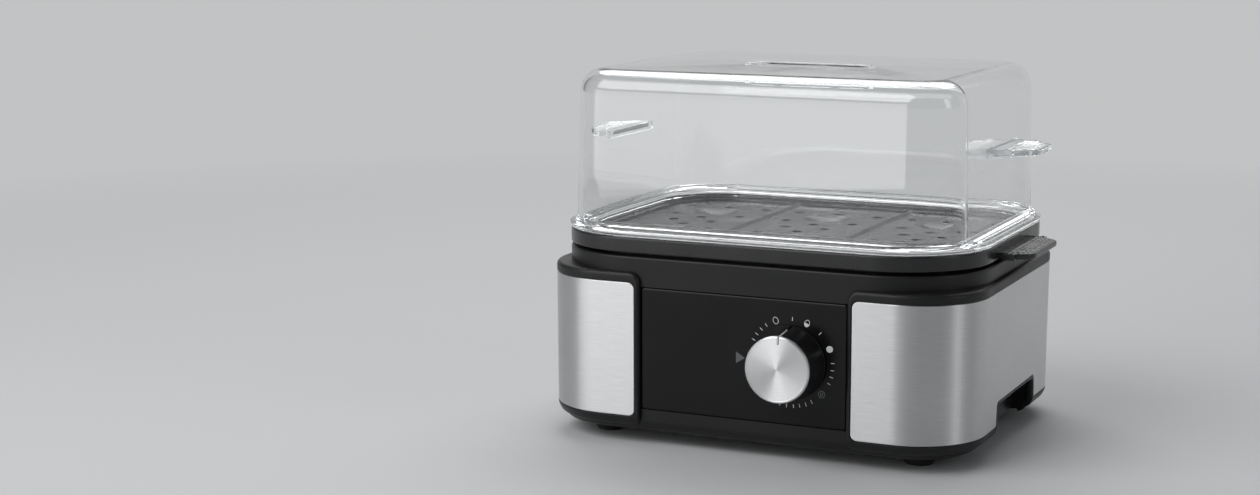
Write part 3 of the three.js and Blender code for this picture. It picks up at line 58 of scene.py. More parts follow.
housing_low, housing_high = box_mm("base_housing")
seal_low = box_mm("dish_seal")[0]
dish_low, dish_high = box_mm("heating_dish")
steel_low, steel_high = box_mm("steel_wrap_right")
fascia_low, fascia_high = box_mm("control_fascia")
gland_low, gland_high = box_mm("cord_gland", 6)
tray_low, tray_high = box_mm("egg_tray")
hood_low, hood_high = box_mm("clear_hood")
shaft_low, shaft_high = box_mm("regulator_shaft", 2)
face_low, face_high = box_mm("knob_face", 6)
skirt_high = box_mm("knob_skirt", 6)[1]

# The camera of the photograph, found from the edges of base, tray and hood
CAMERA_X = 421.14
CAMERA_Y = -1139.72
CAMERA_Z = 299.95
CAMERA_YAW = 25.016
CAMERA_PITCH = -9.23
CAMERA_LENS = 61.85
CAMERA_SENSOR = 36.0
CAMERA_SHIFT_Y = -0.00636

# Body: corner pods, the core between them, and the neck on top
POD_X, POD_Y, POD_RADIUS = housing_high[0], housing_high[1], 40.0
POD_HEIGHT, POD_LIFT = 86.0, 2.4
HOUSING_BOTTOM, NECK_TOP = housing_low[2], housing_high[2]
POD_BOTTOM = HOUSING_BOTTOM + POD_LIFT
POD_TOP = POD_BOTTOM + POD_HEIGHT
POD_EDGE, POD_SEAT_EDGE = 2.4, 0.4
BODY_LEAN = 0.5
CORE_INSET, CORE_TOP = 3.1, 92.0
NECK_X, NECK_Y, NECK_RADIUS = POD_X - CORE_INSET, POD_Y - CORE_INSET, 52.0
NECK_EDGE = 1.3
LEDGE_Z, LEDGE_WALL = seal_low[2], 3.0
FLANGE_SEAT_INSET, DISH_OPENING_INSET = 7.4, 14.4
UNDER_INSET, UNDER_HEIGHT = 6.0, 7.0
SHELL, POCKET_WALL = 2.4, 1.6

# Finger recess in each side
RECESS_FOOT, RECESS_TOP_HALF, RECESS_CORNER = 36.5, 35.5, 3.0
RECESS_TOP, RECESS_X = HOUSING_BOTTOM + 19.5, POD_X - 14.0
NOTCH_MARGIN = 1.6
ABOVE_NOTCH = RECESS_TOP + 1.7

# Steel wrap and fascia
STEEL_LOW, STEEL_HIGH, STEEL_SIDE, STEEL_MARGIN = steel_low[2], steel_high[2], 2.6, 2.5
STEEL_SINK, STEEL_THICK, STEEL_GAP = 0.1, 0.9, 0.2
STEEL_SEAT_DEPTH, STEEL_EDGE, STEEL_CORNER = 2.3, 0.45, 3.5
FASCIA_HALF, FASCIA_LOW, FASCIA_HIGH = fascia_high[0], fascia_low[2], fascia_high[2]
FASCIA_PROUD, FASCIA_THICK, FASCIA_GAP = 0.6, 2.5, 0.3
FASCIA_CORNER, FASCIA_EDGE = 1.5, 0.9
BAY_HALF = FASCIA_HALF + 0.4

# A crease's width, the slack of a comparison, and the radius of a hole too small to see
CREASE, SLACK, NEAR_AXIS = 0.05, 0.01, 0.01

# Dish, feet, cord gland and the hole behind it
DISH_CLEARANCE, DISH_SHEET = 0.7, 1.0
FOOT_RADIUS, FOOT_HEIGHT, FOOT_STEM_RADIUS = 9.0, 7.6, 2.5
GLAND_X, GLAND_Z = (gland_low[0] + gland_high[0]) / 2, (gland_low[2] + gland_high[2]) / 2
GLAND_HOLE_HALF = 6.0
GLAND_RADIUS, GLAND_NECK_RADIUS, GLAND_BORE_RADIUS = 8.5, 6.5, 4.0

# Egg tray
TRAY_TAB_REACH, TRAY_TAB_ROOT_HALF, TRAY_TAB_TIP_HALF = 17.5, 34.0, 27.0
TRAY_TAB_TOP, TRAY_TAB_THICK, TRAY_TAB_CORNER = 108.7, 3.2, 9.0
BAND_X, BAND_Y, BAND_RADIUS = tray_high[0] - TRAY_TAB_REACH, tray_high[1], 50.0
BAND_HIGH, BAND_WALL, BAND_EDGE, BAND_FOOT_EDGE = tray_high[2], 2.7, 1.3, 0.7
BAND_LOW = BAND_HIGH - 8.5
PLATE_TOP, RIM_Z, MIDDLE_STEP_Z = BAND_HIGH - 4.0, BAND_HIGH - 2.0, BAND_HIGH - 2.8
PLATE_UNDER = PLATE_TOP - 2.0
RIM_INSET, MIDDLE_STEP_INSET, PLATE_INSET = 8.5, 12.5, 17.0
TRAY_SKIRT_LOW, TRAY_SKIRT_INSET, TRAY_SKIRT_WALL = tray_low[2], 8.8, 2.6
SEAT_X, SEAT_Y, SEAT_RADIUS, SEAT_DEPTH = 69.2, 34.8, 13.5, 3.4
SEAT_LIP, SEAT_LIP_WIDTH, SEAT_WALL = 0.35, 1.0, 1.6
RIDGE_X, RIDGE_HALF, RIDGE_TOP = SEAT_X / 2, 2.5, PLATE_TOP + 1.2
HOLE_RADIUS, HOLE_ROLL, HOLE_SIDES = 2.7, 0.7, 24
HOLE_PITCH_Y = 2 * SEAT_Y
DOT_SHARE = 0.36
HOLE_SHARES = [
    (-0.35, 0.75), (0, 0.77), (0.35, 0.75), (-0.29, 0.29), (0.29, 0.29), (0, 0.155), (-0.17, -0.04),
    (0.17, -0.04), (0, -0.23), (-0.29, -0.4), (0.29, -0.4), (-0.35, -0.75), (0, -0.77), (0.35, -0.75),
]

# Clear hood, which stands on the tray's band
HOOD_INSET, HOOD_RADIUS = 8.4, 27.0
HOOD_X, HOOD_Y = BAND_X - HOOD_INSET, BAND_Y - HOOD_INSET
HOOD_LOW, HOOD_HIGH = BAND_HIGH + 0.3, hood_high[2]
HOOD_WALL, HOOD_LEAN, HOOD_ROLL = 2.5, 1.6, 13.5
HOOD_SHOULDER = HOOD_HIGH - HOOD_ROLL
HOOD_WALL_LINES = (140.0, 165.0)
LIP_INSET, LIP_LOW = RIM_INSET + 0.9, hood_low[2]
FLANGE_OVERHANG, FLANGE_TOP = hood_high[1] - BAND_Y, HOOD_LOW + 2.3
STEP_INSET, STEP_RADIUS, STEP_TOP = 3.4, 42.0, FLANGE_TOP + 2.0
GRIP_X, GRIP_Y, GRIP_DEPTH = 35.0, 11.0, 4.0
VENT_X, VENT_RADIUS = 17.0, 2.2
TAB_TOP, TAB_THICK, TAB_REACH, TAB_SHOULDER = HOOD_LOW + 48.6, 3.3, 25.0, 11.0
TAB_ROOT_HALF, TAB_SHOULDER_HALF, TAB_TIP_HALF = 29.0, 27.0, 15.0
TAB_RIB_REACH, TAB_RIB_RISE, TAB_RIB_DROP, TAB_RIB_EDGE = 2.0, 0.7, 1.2, 0.5

# Knob
DIAL_X, DIAL_Z = (shaft_low[0] + shaft_high[0]) / 2, (shaft_low[2] + shaft_high[2]) / 2
KNOB_FRONT, FACE_BACK, KNOB_REAR = face_low[1], face_high[1], skirt_high[1]
FACE_RADIUS, FACE_SINK, FACE_EDGE = 17.7, 0.12, 0.2
SKIRT_FRONT_RADIUS, SKIRT_REAR_RADIUS = 17.75, 19.8
KNOB_BOSS_RADIUS, KNOB_BORE_RADIUS, KNOB_BORE_DEPTH, KNOB_HOLLOW_RADIUS = 6.0, 3.2, 13.0, 17.2
SLOT_HALF, SLOT_START, GROOVE_HALF, GROOVE_FLOOR, POINTER_FLARE = 0.6, 13.5, 0.65, 17.35, 2.0
KNOB_REST = 2.3


def steps(first, last, count):
    """Evenly spaced values, both ends kept."""
    return np.linspace(first, last, count)


def lean(z):
    """How far the leaning walls have come in at a height: the whole lean at the foot, nothing at the
    shoulder."""
    return BODY_LEAN * np.maximum(POD_TOP - z, 0) / POD_HEIGHT


def under_round(z, bottom):
    """A quarter ellipse that draws the wall in below: one minus the sine of the angle whose cosine is the
    height."""
    height = np.clip(1 - (z - bottom) / UNDER_HEIGHT, 0, 1)
    return UNDER_INSET * (1 - np.sqrt(1 - height**2))


def round_rectangles(half_x, half_y, radius, arc, marks):
    """Rounded rectangles, counter-clockwise, with the same points for every size: each corner is an arc
    and each side passes through its marks, which are distances from the side's middle in the direction of
    travel."""
    half_x, half_y, radius = (np.asarray(v, float).reshape(-1, 1) for v in (half_x, half_y, radius))
    parts = []
    corner_signs = [(1, -1), (1, 1), (-1, 1), (-1, -1)]
    for k, (sx, sy) in enumerate(corner_signs):
        angle = np.radians(steps(-90 + 90 * k, 90 * k, arc + 1))[None]
        x = sx * (half_x - radius) + radius * np.cos(angle)
        y = sy * (half_y - radius) + radius * np.sin(angle)
        parts.append(np.stack([x, y], 2))
        along = np.asarray(marks[k], float)[None] + 0 * half_x
        if k == 0:
            side = [half_x + 0 * along, along]
        elif k == 1:
            side = [-along, half_y + 0 * along]
        elif k == 2:
            side = [-half_x + 0 * along, -along]
        else:
            side = [along, -half_y + 0 * along]
        parts.append(np.stack(side, 2))
    return np.concatenate(parts, 1)


def drawn_in(half_x, half_y, radius, profile):
    """Levels of a rounded rectangle that a profile of (distance, height) draws in from its full size."""
    return [(half_x - drawn, half_y - drawn, radius - drawn, z) for drawn, z in profile]


def grid_faces(rows, columns, close_rows=False, close_columns=False, start=0):
    """Quads of a grid of points stored row by row."""
    r = np.arange(rows if close_rows else rows - 1)
    c = np.arange(columns if close_columns else columns - 1)
    r, c = np.meshgrid(r, c, indexing="ij")
    r2, c2 = (r + 1) % rows, (c + 1) % columns
    quads = np.stack([r * columns + c, r * columns + c2, r2 * columns + c2, r2 * columns + c], 2)
    return quads.reshape(-1, 4) + start


def raised(flat, heights):
    """Rows of flat points, each lifted to its own height."""
    return np.concatenate([flat, np.repeat(heights[:, None, None], flat.shape[1], 1)], 2)


def tube_faces(rows, columns):
    """Quads of a grid closed across its columns, and a face over each end."""
    ends = [list(range(columns)), list(range((rows - 1) * columns, rows * columns))]
    return grid_faces(rows, columns, False, True).tolist() + ends


def bend(centre_a, centre_b, radius, first, last, count=6):
    """Points of an arc in a profile, from one angle to another in degrees."""
    angle = np.radians(steps(first, last, count))
    return list(zip(centre_a + radius * np.cos(angle), centre_b + radius * np.sin(angle)))


class Shape:
    """Points and faces of one piece, gathered part by part."""

    def __init__(self):
        self.points, self.faces, self.uv = [], [], []
        self.count = 0

    def add(self, points, faces, uv=None):
        """Takes in a part whose faces count from its own first point."""
        points = np.asarray(points, float).reshape(-1, 3)
        self.points.append(points)
        self.faces += [[int(i) + self.count for i in f] for f in faces]
        self.uv.append(np.zeros((len(points), 2)) if uv is None else np.asarray(uv, float).reshape(-1, 2))
        self.count += len(points)
        return self

    def loft(self, levels, marks, arc=14, closed=False, caps=False):
        """Rounded rectangles (half x, half y, radius, z) joined level by level."""
        half_x, half_y, radius, z = np.array(levels, float).T
        flat = round_rectangles(half_x, half_y, np.maximum(radius, 0.01), arc, marks)
        rows, columns = flat.shape[:2]
        faces = [list(f) for f in grid_faces(rows, columns, closed, True)]
        if caps:
            faces += [list(range(columns))[::-1], list(range((rows - 1) * columns, rows * columns))]
        return self.add(raised(flat, z), faces)

    def turned(self, profile, centre, along="z", sides=64):
        """A closed profile of (radius, distance) pairs turned about an axis through the centre."""
        radius, distance = np.array(profile, float).T
        angle = steps(0, 2 * math.pi, sides + 1)[:-1]
        a = radius[:, None] * np.cos(angle)
        b = radius[:, None] * np.sin(angle)
        d = distance[:, None] + 0 * a
        if along == "z":
            points = np.stack([centre[0] + a, centre[1] + b, d], 2)
        else:
            points = np.stack([centre[0] + a, d, centre[1] + b], 2)
        uv = np.stack([0 * a + angle, radius[:, None] + 0 * a], 2) * MM * 10
        return self.add(points, grid_faces(len(profile), sides, False, True), uv)

    def sheet(self, top, under, uv=None):
        """Two grids of points, joined round their border into a closed sheet."""
        rows, columns = top.shape[:2]
        size = rows * columns
        faces = [list(f) for f in grid_faces(rows, columns)]
        faces += [list(f)[::-1] for f in grid_faces(rows, columns, start=size)]
        ring = np.concatenate([
            np.arange(columns - 1),
            np.arange(rows - 1) * columns + columns - 1,
            size - 1 - np.arange(columns - 1),
            (rows - 1 - np.arange(rows - 1)) * columns,
        ])
        after = np.roll(ring, -1)
        faces += [[b, a, a + size, b + size] for a, b in zip(ring.tolist(), after.tolist())]
        both = None if uv is None else np.concatenate([uv.reshape(-1, 2)] * 2)
        return self.add(np.concatenate([top.reshape(-1, 3), under.reshape(-1, 3)]), faces, both)


def in_scene(name, data):
    """A new object in the scene."""
    found = bpy.data.objects.new(name, data)
    bpy.context.scene.collection.objects.link(found)
    return found


def write_mesh(name, shape):
    """Puts a shape into a mesh in metres, its doubles merged and its faces pointing outwards."""
    points = np.concatenate(shape.points) + [0, MIDDLE_Y, 0]
    mesh = bpy.data.meshes.new(name)
    mesh.from_pydata((points * MM).tolist(), [], shape.faces)
    uv = np.concatenate(shape.uv)
    layer = mesh.uv_layers.new(name="surface")
    corner = np.zeros(len(mesh.loops), int)
    mesh.loops.foreach_get("vertex_index", corner)
    layer.data.foreach_set("uv", uv[corner].ravel())
    work = bmesh.new()
    work.from_mesh(mesh)
    bmesh.ops.remove_doubles(work, verts=work.verts, dist=2e-6)
    bmesh.ops.dissolve_degenerate(work, edges=work.edges, dist=1e-6)
    bmesh.ops.recalc_face_normals(work, faces=work.faces)
    work.to_mesh(mesh)
    work.free()
    return mesh


def dress(name, shape, material, slot, body, *nodes, sharp=32):
    """A finished piece: smooth but for its sharp edges, its flat faces shaded flat, riding on its body
    and standing for CAD nodes."""
    mesh = shape if isinstance(shape, bpy.types.Mesh) else write_mesh(name, shape)
    mesh.shade_smooth()
    mesh.set_sharp_from_angle(angle=math.radians(sharp))
    piece = in_scene(name, mesh)
    mesh.materials.append(material)
    even = piece.modifiers.new("even_sheen", "WEIGHTED_NORMAL")
    even.keep_sharp = True
    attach(piece, body)
    if nodes:
        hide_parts(*nodes)
    return piece


# Materials
def node(tree, kind, inputs=None, **settings):
    """A shader node with its settings and plain input values, or links where a value is a socket."""
    found = tree.nodes.new("ShaderNode" + kind)
    for key, value in settings.items():
        setattr(found, key, value)
    for key, value in (inputs or {}).items():
        if isinstance(value, bpy.types.NodeSocket):
            tree.links.new(value, found.inputs[key])
        else:
            found.inputs[key].default_value = value
    return found


def new_material(name, **values):
    """A material with its Principled shader's plain values set on the sockets."""
    material = bpy.data.materials.new(name)
    material.use_nodes = True
    shader = material.node_tree.nodes["Principled BSDF"]
    for key, value in values.items():
        socket = shader.inputs[key.replace("_", " ").title().replace("Ior", "IOR")]
        socket.default_value = (*value, 1.0) if isinstance(value, tuple) else value
    return material, material.node_tree, shader


def grain(tree, scale, detail=2.0, stretch=(1, 1, 1), source="Object"):
    """Noise on the piece's own coordinates, drawn out along its axes."""
    place = node(tree, "TexCoord")
    mapping = node(tree, "Mapping", {"Vector": place.outputs[source]})
    mapping.inputs["Scale"].default_value = stretch
    return node(tree, "TexNoise", {"Vector": mapping.outputs["Vector"], "Scale": scale, "Detail": detail})


def spread(tree, value, low, high, from_low=0.3, from_high=0.7):
    """A noise value stretched over a range."""
    return node(tree, "MapRange", {
        "Value": value, "From Min": from_low, "From Max": from_high, "To Min": low, "To Max": high,
    }).outputs["Result"]


def tint(tree, shader, value, dark, light):
    """The shader's colour, between two, by a value from 0 to 1."""
    mix = node(tree, "Mix", data_type="RGBA")
    tree.links.new(value, mix.inputs["Factor"])
    mix.inputs["A"].default_value = (*dark, 1)
    mix.inputs["B"].default_value = (*light, 1)
    tree.links.new(mix.outputs["Result"], shader.inputs["Base Color"])


def bump(tree, shader, height, strength, distance):
    """A bump from a height value, its distance in metres."""
    found = node(tree, "Bump", {"Height": height, "Strength": strength, "Distance": distance})
    tree.links.new(found.outputs["Normal"], shader.inputs["Normal"])


def maths(tree, operation, first, second):
    """The result of a sum of two values, or of another operation on them."""
    return node(tree, "Math", {0: first, 1: second}, operation=operation).outputs["Value"]


def mix_surfaces(tree, share, first, second):
    """The material's surface: one shader, turning into another by a share from 0 to 1."""
    mix = node(tree, "MixShader", {0: share, 1: first.outputs[0], 2: second.outputs[0]})
    tree.links.new(mix.outputs[0], tree.nodes["Material Output"].inputs["Surface"])


def moulded(name, dark, light, rough, texture_scale, depth, gloss=0.5):
    """Moulded plastic: a fine spark-eroded texture, uneven sheen and faint clouding of its colour."""
    material, tree, shader = new_material(name, specular_ior_level=gloss)
    cloud = grain(tree, 38.0, 3.0).outputs["Fac"]
    texture = grain(tree, texture_scale, 2.0).outputs["Fac"]
    tint(tree, shader, cloud, dark, light)
    tree.links.new(spread(tree, cloud, rough - 0.05, rough + 0.06), shader.inputs["Roughness"])
    bump(tree, shader, texture, 0.35, depth)
    return material


def brushed(name, dark, light, rough, scale, stretch):
    """Brushed metal: noise drawn out along the brushing sets its colour, sheen and fine grooves, and the
    highlight spreads across the brushing, a quarter turn from the first direction of the piece's own
    map."""
    material, tree, shader = new_material(name, metallic=1.0, anisotropic=0.85, anisotropic_rotation=0.25)
    lines = grain(tree, scale, 2.0, stretch, "UV").outputs["Fac"]
    broad = grain(tree, 30.0, 3.0).outputs["Fac"]
    tint(tree, shader, spread(tree, lines, 0, 1), dark, light)
    fine, uneven = spread(tree, lines, rough - 0.04, rough + 0.04), spread(tree, broad, -0.02, 0.03)
    tree.links.new(maths(tree, "ADD", fine, uneven), shader.inputs["Roughness"])
    bump(tree, shader, lines, 0.12, 0.00001)
    tangent = node(tree, "Tangent", direction_type="UV_MAP", uv_map="surface")
    tree.links.new(tangent.outputs["Tangent"], shader.inputs["Tangent"])
    return material


def dull_metal(name, dark, light, rough):
    """Plain sheet or cast metal, clouded and faintly grained."""
    material, tree, shader = new_material(name, metallic=1.0)
    cloud = grain(tree, 90.0, 4.0).outputs["Fac"]
    fine = grain(tree, 1800.0, 2.0).outputs["Fac"]
    tint(tree, shader, cloud, dark, light)
    tree.links.new(spread(tree, cloud, rough - 0.06, rough + 0.08), shader.inputs["Roughness"])
    bump(tree, shader, fine, 0.2, 0.00004)
    return material


def clear_plastic(name):
    """Polished clear plastic. Its walls let the lamps through, and light that has been thrown back and
    forth inside a wall four times leaves it."""
    material, tree, shader = new_material(name, roughness=0.015, ior=1.5, transmission_weight=1.0)
    flow = grain(tree, 14.0, 2.0).outputs["Fac"]
    tint(tree, shader, flow, (0.935, 0.945, 0.95), (0.965, 0.97, 0.972))
    bump(tree, shader, flow, 0.05, 0.0001)
    light = node(tree, "LightPath")
    trapped = maths(tree, "GREATER_THAN", light.outputs["Glossy Depth"], 3.5)
    window = node(tree, "BsdfTransparent", {"Color": (0.93, 0.94, 0.945, 1)})
    mix_surfaces(tree, maths(tree, "MAXIMUM", light.outputs["Is Shadow Ray"], trapped), shader, window)
    return material


def printed(name, dark, light, rough):
    """Printing ink, slightly uneven."""
    material, tree, shader = new_material(name, roughness=rough)
    fleck = grain(tree, 2400.0, 2.0).outputs["Fac"]
    tint(tree, shader, fleck, dark, light)
    bump(tree, shader, fleck, 0.15, 0.00002)
    return material


satin_black = moulded(
    "satin black plastic", (0.0065, 0.0065, 0.007), (0.0095, 0.0095, 0.010), 0.40, 2300.0, 0.00006, 0.32)
tray_black = moulded(
    "tray black plastic", (0.009, 0.009, 0.0096), (0.013, 0.013, 0.0138), 0.27, 1500.0, 0.00003)
fascia_black = moulded(
    "fascia black plastic", (0.0042, 0.0042, 0.0045), (0.006, 0.006, 0.0063), 0.20, 3000.0, 0.00001, 0.24)
steel = brushed("brushed steel", (0.58, 0.58, 0.585), (0.66, 0.66, 0.665), 0.42, 2600.0, (0.03, 1.0, 1.0))
spun = brushed("spun aluminium", (0.72, 0.72, 0.725), (0.82, 0.82, 0.825), 0.36, 2600.0, (0.02, 1.0, 1.0))
dish_steel = dull_metal("pressed dish steel", (0.42, 0.42, 0.43), (0.56, 0.56, 0.57), 0.30)
zinc = dull_metal("zinc plated steel", (0.40, 0.41, 0.43), (0.55, 0.56, 0.57), 0.36)
cast_aluminium = dull_metal("cast aluminium", (0.50, 0.51, 0.52), (0.63, 0.64, 0.65), 0.48)
clear = clear_plastic("clear plastic")
rubber = moulded("foot rubber", (0.012, 0.012, 0.012), (0.022, 0.022, 0.022), 0.75, 1200.0, 0.00008, 0.3)
silicone = moulded("silicone seal", (0.22, 0.23, 0.24), (0.30, 0.31, 0.32), 0.62, 900.0, 0.00006, 0.35)
pale = moulded("pale plastic", (0.60, 0.58, 0.53), (0.70, 0.68, 0.63), 0.5, 1500.0, 0.00005)
lens_grey = moulded("lens grey plastic", (0.085, 0.085, 0.09), (0.11, 0.11, 0.115), 0.38, 1500.0, 0.00003)
jacket = moulded("lead jacket", (0.42, 0.31, 0.05), (0.52, 0.39, 0.08), 0.55, 1100.0, 0.00006, 0.35)
lamp_orange = moulded("lamp orange", (0.55, 0.14, 0.03), (0.68, 0.20, 0.05), 0.2, 1500.0, 0.00002)
white_ink = printed("white ink", (0.66, 0.66, 0.66), (0.80, 0.80, 0.80), 0.5)
grey_ink = printed("grey ink", (0.16, 0.16, 0.165), (0.22, 0.22, 0.225), 0.5)

# CAD nodes that keep their own shape and take a finish
SMALL_METALWORK = [
    "element_clamp", "thermostat_bracket", "fuse_clip", "regulator_plate", "regulator_shaft",
    "knob_spring_clip",
]
plain_finishes = {
    zinc: SMALL_METALWORK + [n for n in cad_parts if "_screw_" in n],
    cast_aluminium: ["heat_spreader", "thermal_fuse"],
    dish_steel: ["heating_element"],
    silicone: ["dish_seal"],
    pale: ["regulator_body", "lamp_holder", "terminal_block"],
    lens_grey: ["indicator_lens", "boil_dry_thermostat"],
    lamp_orange: ["indicator_lamp"],
    satin_black: ["bottom_cover", "signal_buzzer"],
    jacket: [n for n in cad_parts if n.startswith("lead_")],
}
for finish, names in plain_finishes.items():
    for name in names:
        cad_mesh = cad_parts[name].data
        cad_mesh.materials.clear()
        cad_mesh.materials.append(finish)


# Housing: core, neck and dish ledge as one skin, with a seat for the fascia and room for the recesses
def housing_core():
    """A path of wall heights carried round the body: up the leaning wall, over the neck's rim and down to
    the dish's ledge, with openings at the finger recesses and behind the cord gland."""
    gland_top = GLAND_Z + GLAND_HOLE_HALF
    rounding = 1 - np.cos(np.radians(steps(0, 90, 11)))
    heights = [
        *(HOUSING_BOTTOM + UNDER_HEIGHT * rounding), FASCIA_LOW - FASCIA_GAP - CREASE,
        FASCIA_LOW - FASCIA_GAP, ABOVE_NOTCH, gland_top, FASCIA_HIGH + FASCIA_GAP,
        FASCIA_HIGH + FASCIA_GAP + CREASE, CORE_TOP,
    ]
    wall = [(CORE_INSET + float(lean(z) + under_round(z, HOUSING_BOTTOM)), z) for z in heights]
    rim = [(0.1, CORE_TOP + 0.2), (0, POD_TOP)]
    rim += bend(NECK_EDGE, NECK_TOP - NECK_EDGE, NECK_EDGE, 180, 90, 7)
    rim += [(FLANGE_SEAT_INSET - 0.6, NECK_TOP), (FLANGE_SEAT_INSET, NECK_TOP - 0.6)]
    rim += [(FLANGE_SEAT_INSET, LEDGE_Z), (DISH_OPENING_INSET, LEDGE_Z)]
    rim += [(DISH_OPENING_INSET, LEDGE_Z - LEDGE_WALL)]
    levels = drawn_in(POD_X, POD_Y, POD_RADIUS, wall) + drawn_in(NECK_X, NECK_Y, NECK_RADIUS, rim)
    edge = FASCIA_HALF + FASCIA_GAP
    notch = RECESS_FOOT + NOTCH_MARGIN
    front = [-edge - CREASE, -edge, *steps(-56, 56, 15), edge, edge + CREASE]
    side = [-notch - 0.2, -notch, -20, 0, 20, notch, notch + 0.2]
    rear = [-50, -GLAND_X - GLAND_HOLE_HALF, -GLAND_X + GLAND_HOLE_HALF, -10, 10, 40]
    half_x, half_y, radius, z = np.array(levels).T
    points = raised(round_rectangles(half_x, half_y, radius, 16, [side, rear, side, front]), z)
    rows, columns = points.shape[:2]
    outer = np.arange(rows) < len(heights)
    height = points[..., 2]
    seat = (height > FASCIA_LOW - FASCIA_GAP - SLACK) & (height < FASCIA_HIGH + FASCIA_GAP + SLACK)
    seat &= (np.abs(points[..., 0]) < edge + SLACK) & (points[..., 1] < -POD_Y / 2) & outer[:, None]
    points[..., 1][seat] += FASCIA_THICK + 0.2
    quads = grid_faces(rows, columns, False, True)
    middle = points.reshape(-1, 3)[quads].mean(1)
    at_side, at_rear = np.abs(middle[:, 0]) > POD_X - POD_RADIUS, middle[:, 1] > POD_Y - POD_RADIUS
    in_notch = at_side & (np.abs(middle[:, 1]) < notch) & (middle[:, 2] < ABOVE_NOTCH)
    in_gland = at_rear & (np.abs(middle[:, 0] - GLAND_X) < GLAND_HOLE_HALF)
    in_gland &= (middle[:, 2] > ABOVE_NOTCH) & (middle[:, 2] < gland_top)
    return Shape().add(points, quads[~in_notch & ~in_gland])


def solidified(name, shape, thickness):
    """The shape's skin given a wall on its inner side, as a mesh."""
    helper = in_scene(name + "_work", write_mesh(name, shape))
    wall = helper.modifiers.new("wall", "SOLIDIFY")
    wall.thickness = thickness * MM
    wall.offset = -1.0
    wall.use_even_offset = False
    done = evaluated(helper)
    bpy.data.objects.remove(helper)
    return done


def evaluated(helper):
    """The mesh of an object with its modifiers worked in."""
    bpy.context.view_layer.update()
    depsgraph = bpy.context.evaluated_depsgraph_get()
    return bpy.data.meshes.new_from_object(helper.evaluated_get(depsgraph))


# The skin of the corner pods, laid out flat: t runs round the side from its middle, z is height, h is depth
def pod_skin(side, t, z, h):
    """A point t along the pod's rounded outline, drawn in by lean, underside curve and depth h."""
    t, z, h = np.broadcast_arrays(np.asarray(t, float), np.asarray(z, float), np.asarray(h, float))
    inset = lean(z) + under_round(z, POD_BOTTOM) + h
    a = np.abs(t)
    half_side = POD_Y - POD_RADIUS
    arc_length = POD_RADIUS * math.pi / 2
    angle = np.clip((a - half_side) / POD_RADIUS, 0, math.pi / 2)
    beyond = np.maximum(a - half_side - arc_length, 0)
    x = POD_X - POD_RADIUS + (POD_RADIUS - inset) * np.cos(angle) - beyond
    y = np.where(a <= half_side, a, half_side + (POD_RADIUS - inset) * np.sin(angle))
    return np.stack([side * x, np.sign(t) * y, z], -1)


POD_END = POD_Y - POD_RADIUS + POD_RADIUS * math.pi / 2 + POD_X - POD_RADIUS - BAY_HALF


def rounded_loop(corners, radii, counts, arc=6):
    """A closed loop through corners, each rounded by its radius, with a set count of points on each
    side."""
    corners = np.array(corners, float)
    before, after = np.roll(corners, 1, 0), np.roll(corners, -1, 0)
    found = []
    ends = []
    for corner, previous, following, radius in zip(corners, before, after, radii):
        a = (previous - corner) / np.linalg.norm(previous - corner)
        b = (following - corner) / np.linalg.norm(following - corner)
        half = math.acos(np.clip(a @ b, -1, 1)) / 2
        reach = radius / math.tan(half)
        centre = corner + (a + b) / np.linalg.norm(a + b) * radius / math.sin(half)
        start, stop = corner + a * reach - centre, corner + b * reach - centre
        first = math.atan2(start[1], start[0])
        turn = (math.atan2(stop[1], stop[0]) - first + math.pi) % (2 * math.pi) - math.pi
        angle = first + turn * steps(0, 1, arc + 1)
        ends.append(centre + radius * np.stack([np.cos(angle), np.sin(angle)], 1))
    for k, count in enumerate(counts):
        here, there = ends[k][-1], ends[(k + 1) % len(ends)][0]
        share = steps(0, 1, count + 1)[1:-1, None]
        found += [ends[k], here + (there - here) * share]
    return np.concatenate(found)


LOOP_COUNTS = [50, 8, 28, 8, 50, 34, 124, 34]
POD_CORNER, RECESS_FOOT_CORNER = 6.0, 1.0
POD_SHELF, POD_SHELF_FADE, POD_ROOT = 12.0, 3.0, CORE_INSET + 0.5


def pod_border():
    """The pod's outline on its laid-out skin, with the finger recess taken out of its lower side."""
    foot, top, low, high = RECESS_FOOT, RECESS_TOP_HALF, POD_BOTTOM, POD_TOP
    corners = [
        (-POD_END, low), (-foot, low), (-top, RECESS_TOP), (top, RECESS_TOP), (foot, low), (POD_END, low),
        (POD_END, high), (-POD_END, high),
    ]
    half = [POD_CORNER, RECESS_FOOT_CORNER, RECESS_CORNER]
    return rounded_loop(corners, [*half, *half[::-1], POD_CORNER, POD_CORNER], LOOP_COUNTS)


def steel_border(gap=0.0):
    """The outline of the steel wrap on the laid-out skin, drawn in by a gap."""
    end = POD_END - STEEL_SIDE - gap
    foot, top = RECESS_FOOT + STEEL_MARGIN - 0.2 + gap, RECESS_TOP_HALF + STEEL_MARGIN + gap
    low, high, arch = STEEL_LOW + gap, STEEL_HIGH - gap, RECESS_TOP + STEEL_MARGIN + gap
    corners = [
        (-end, low), (-foot, low), (-top, arch), (top, arch), (foot, low), (end, low), (end, high),
        (-end, high),
    ]
    half = [STEEL_CORNER, RECESS_FOOT_CORNER + 0.2, RECESS_CORNER]
    return rounded_loop(corners, [*half, *half[::-1], STEEL_CORNER, STEEL_CORNER], LOOP_COUNTS)


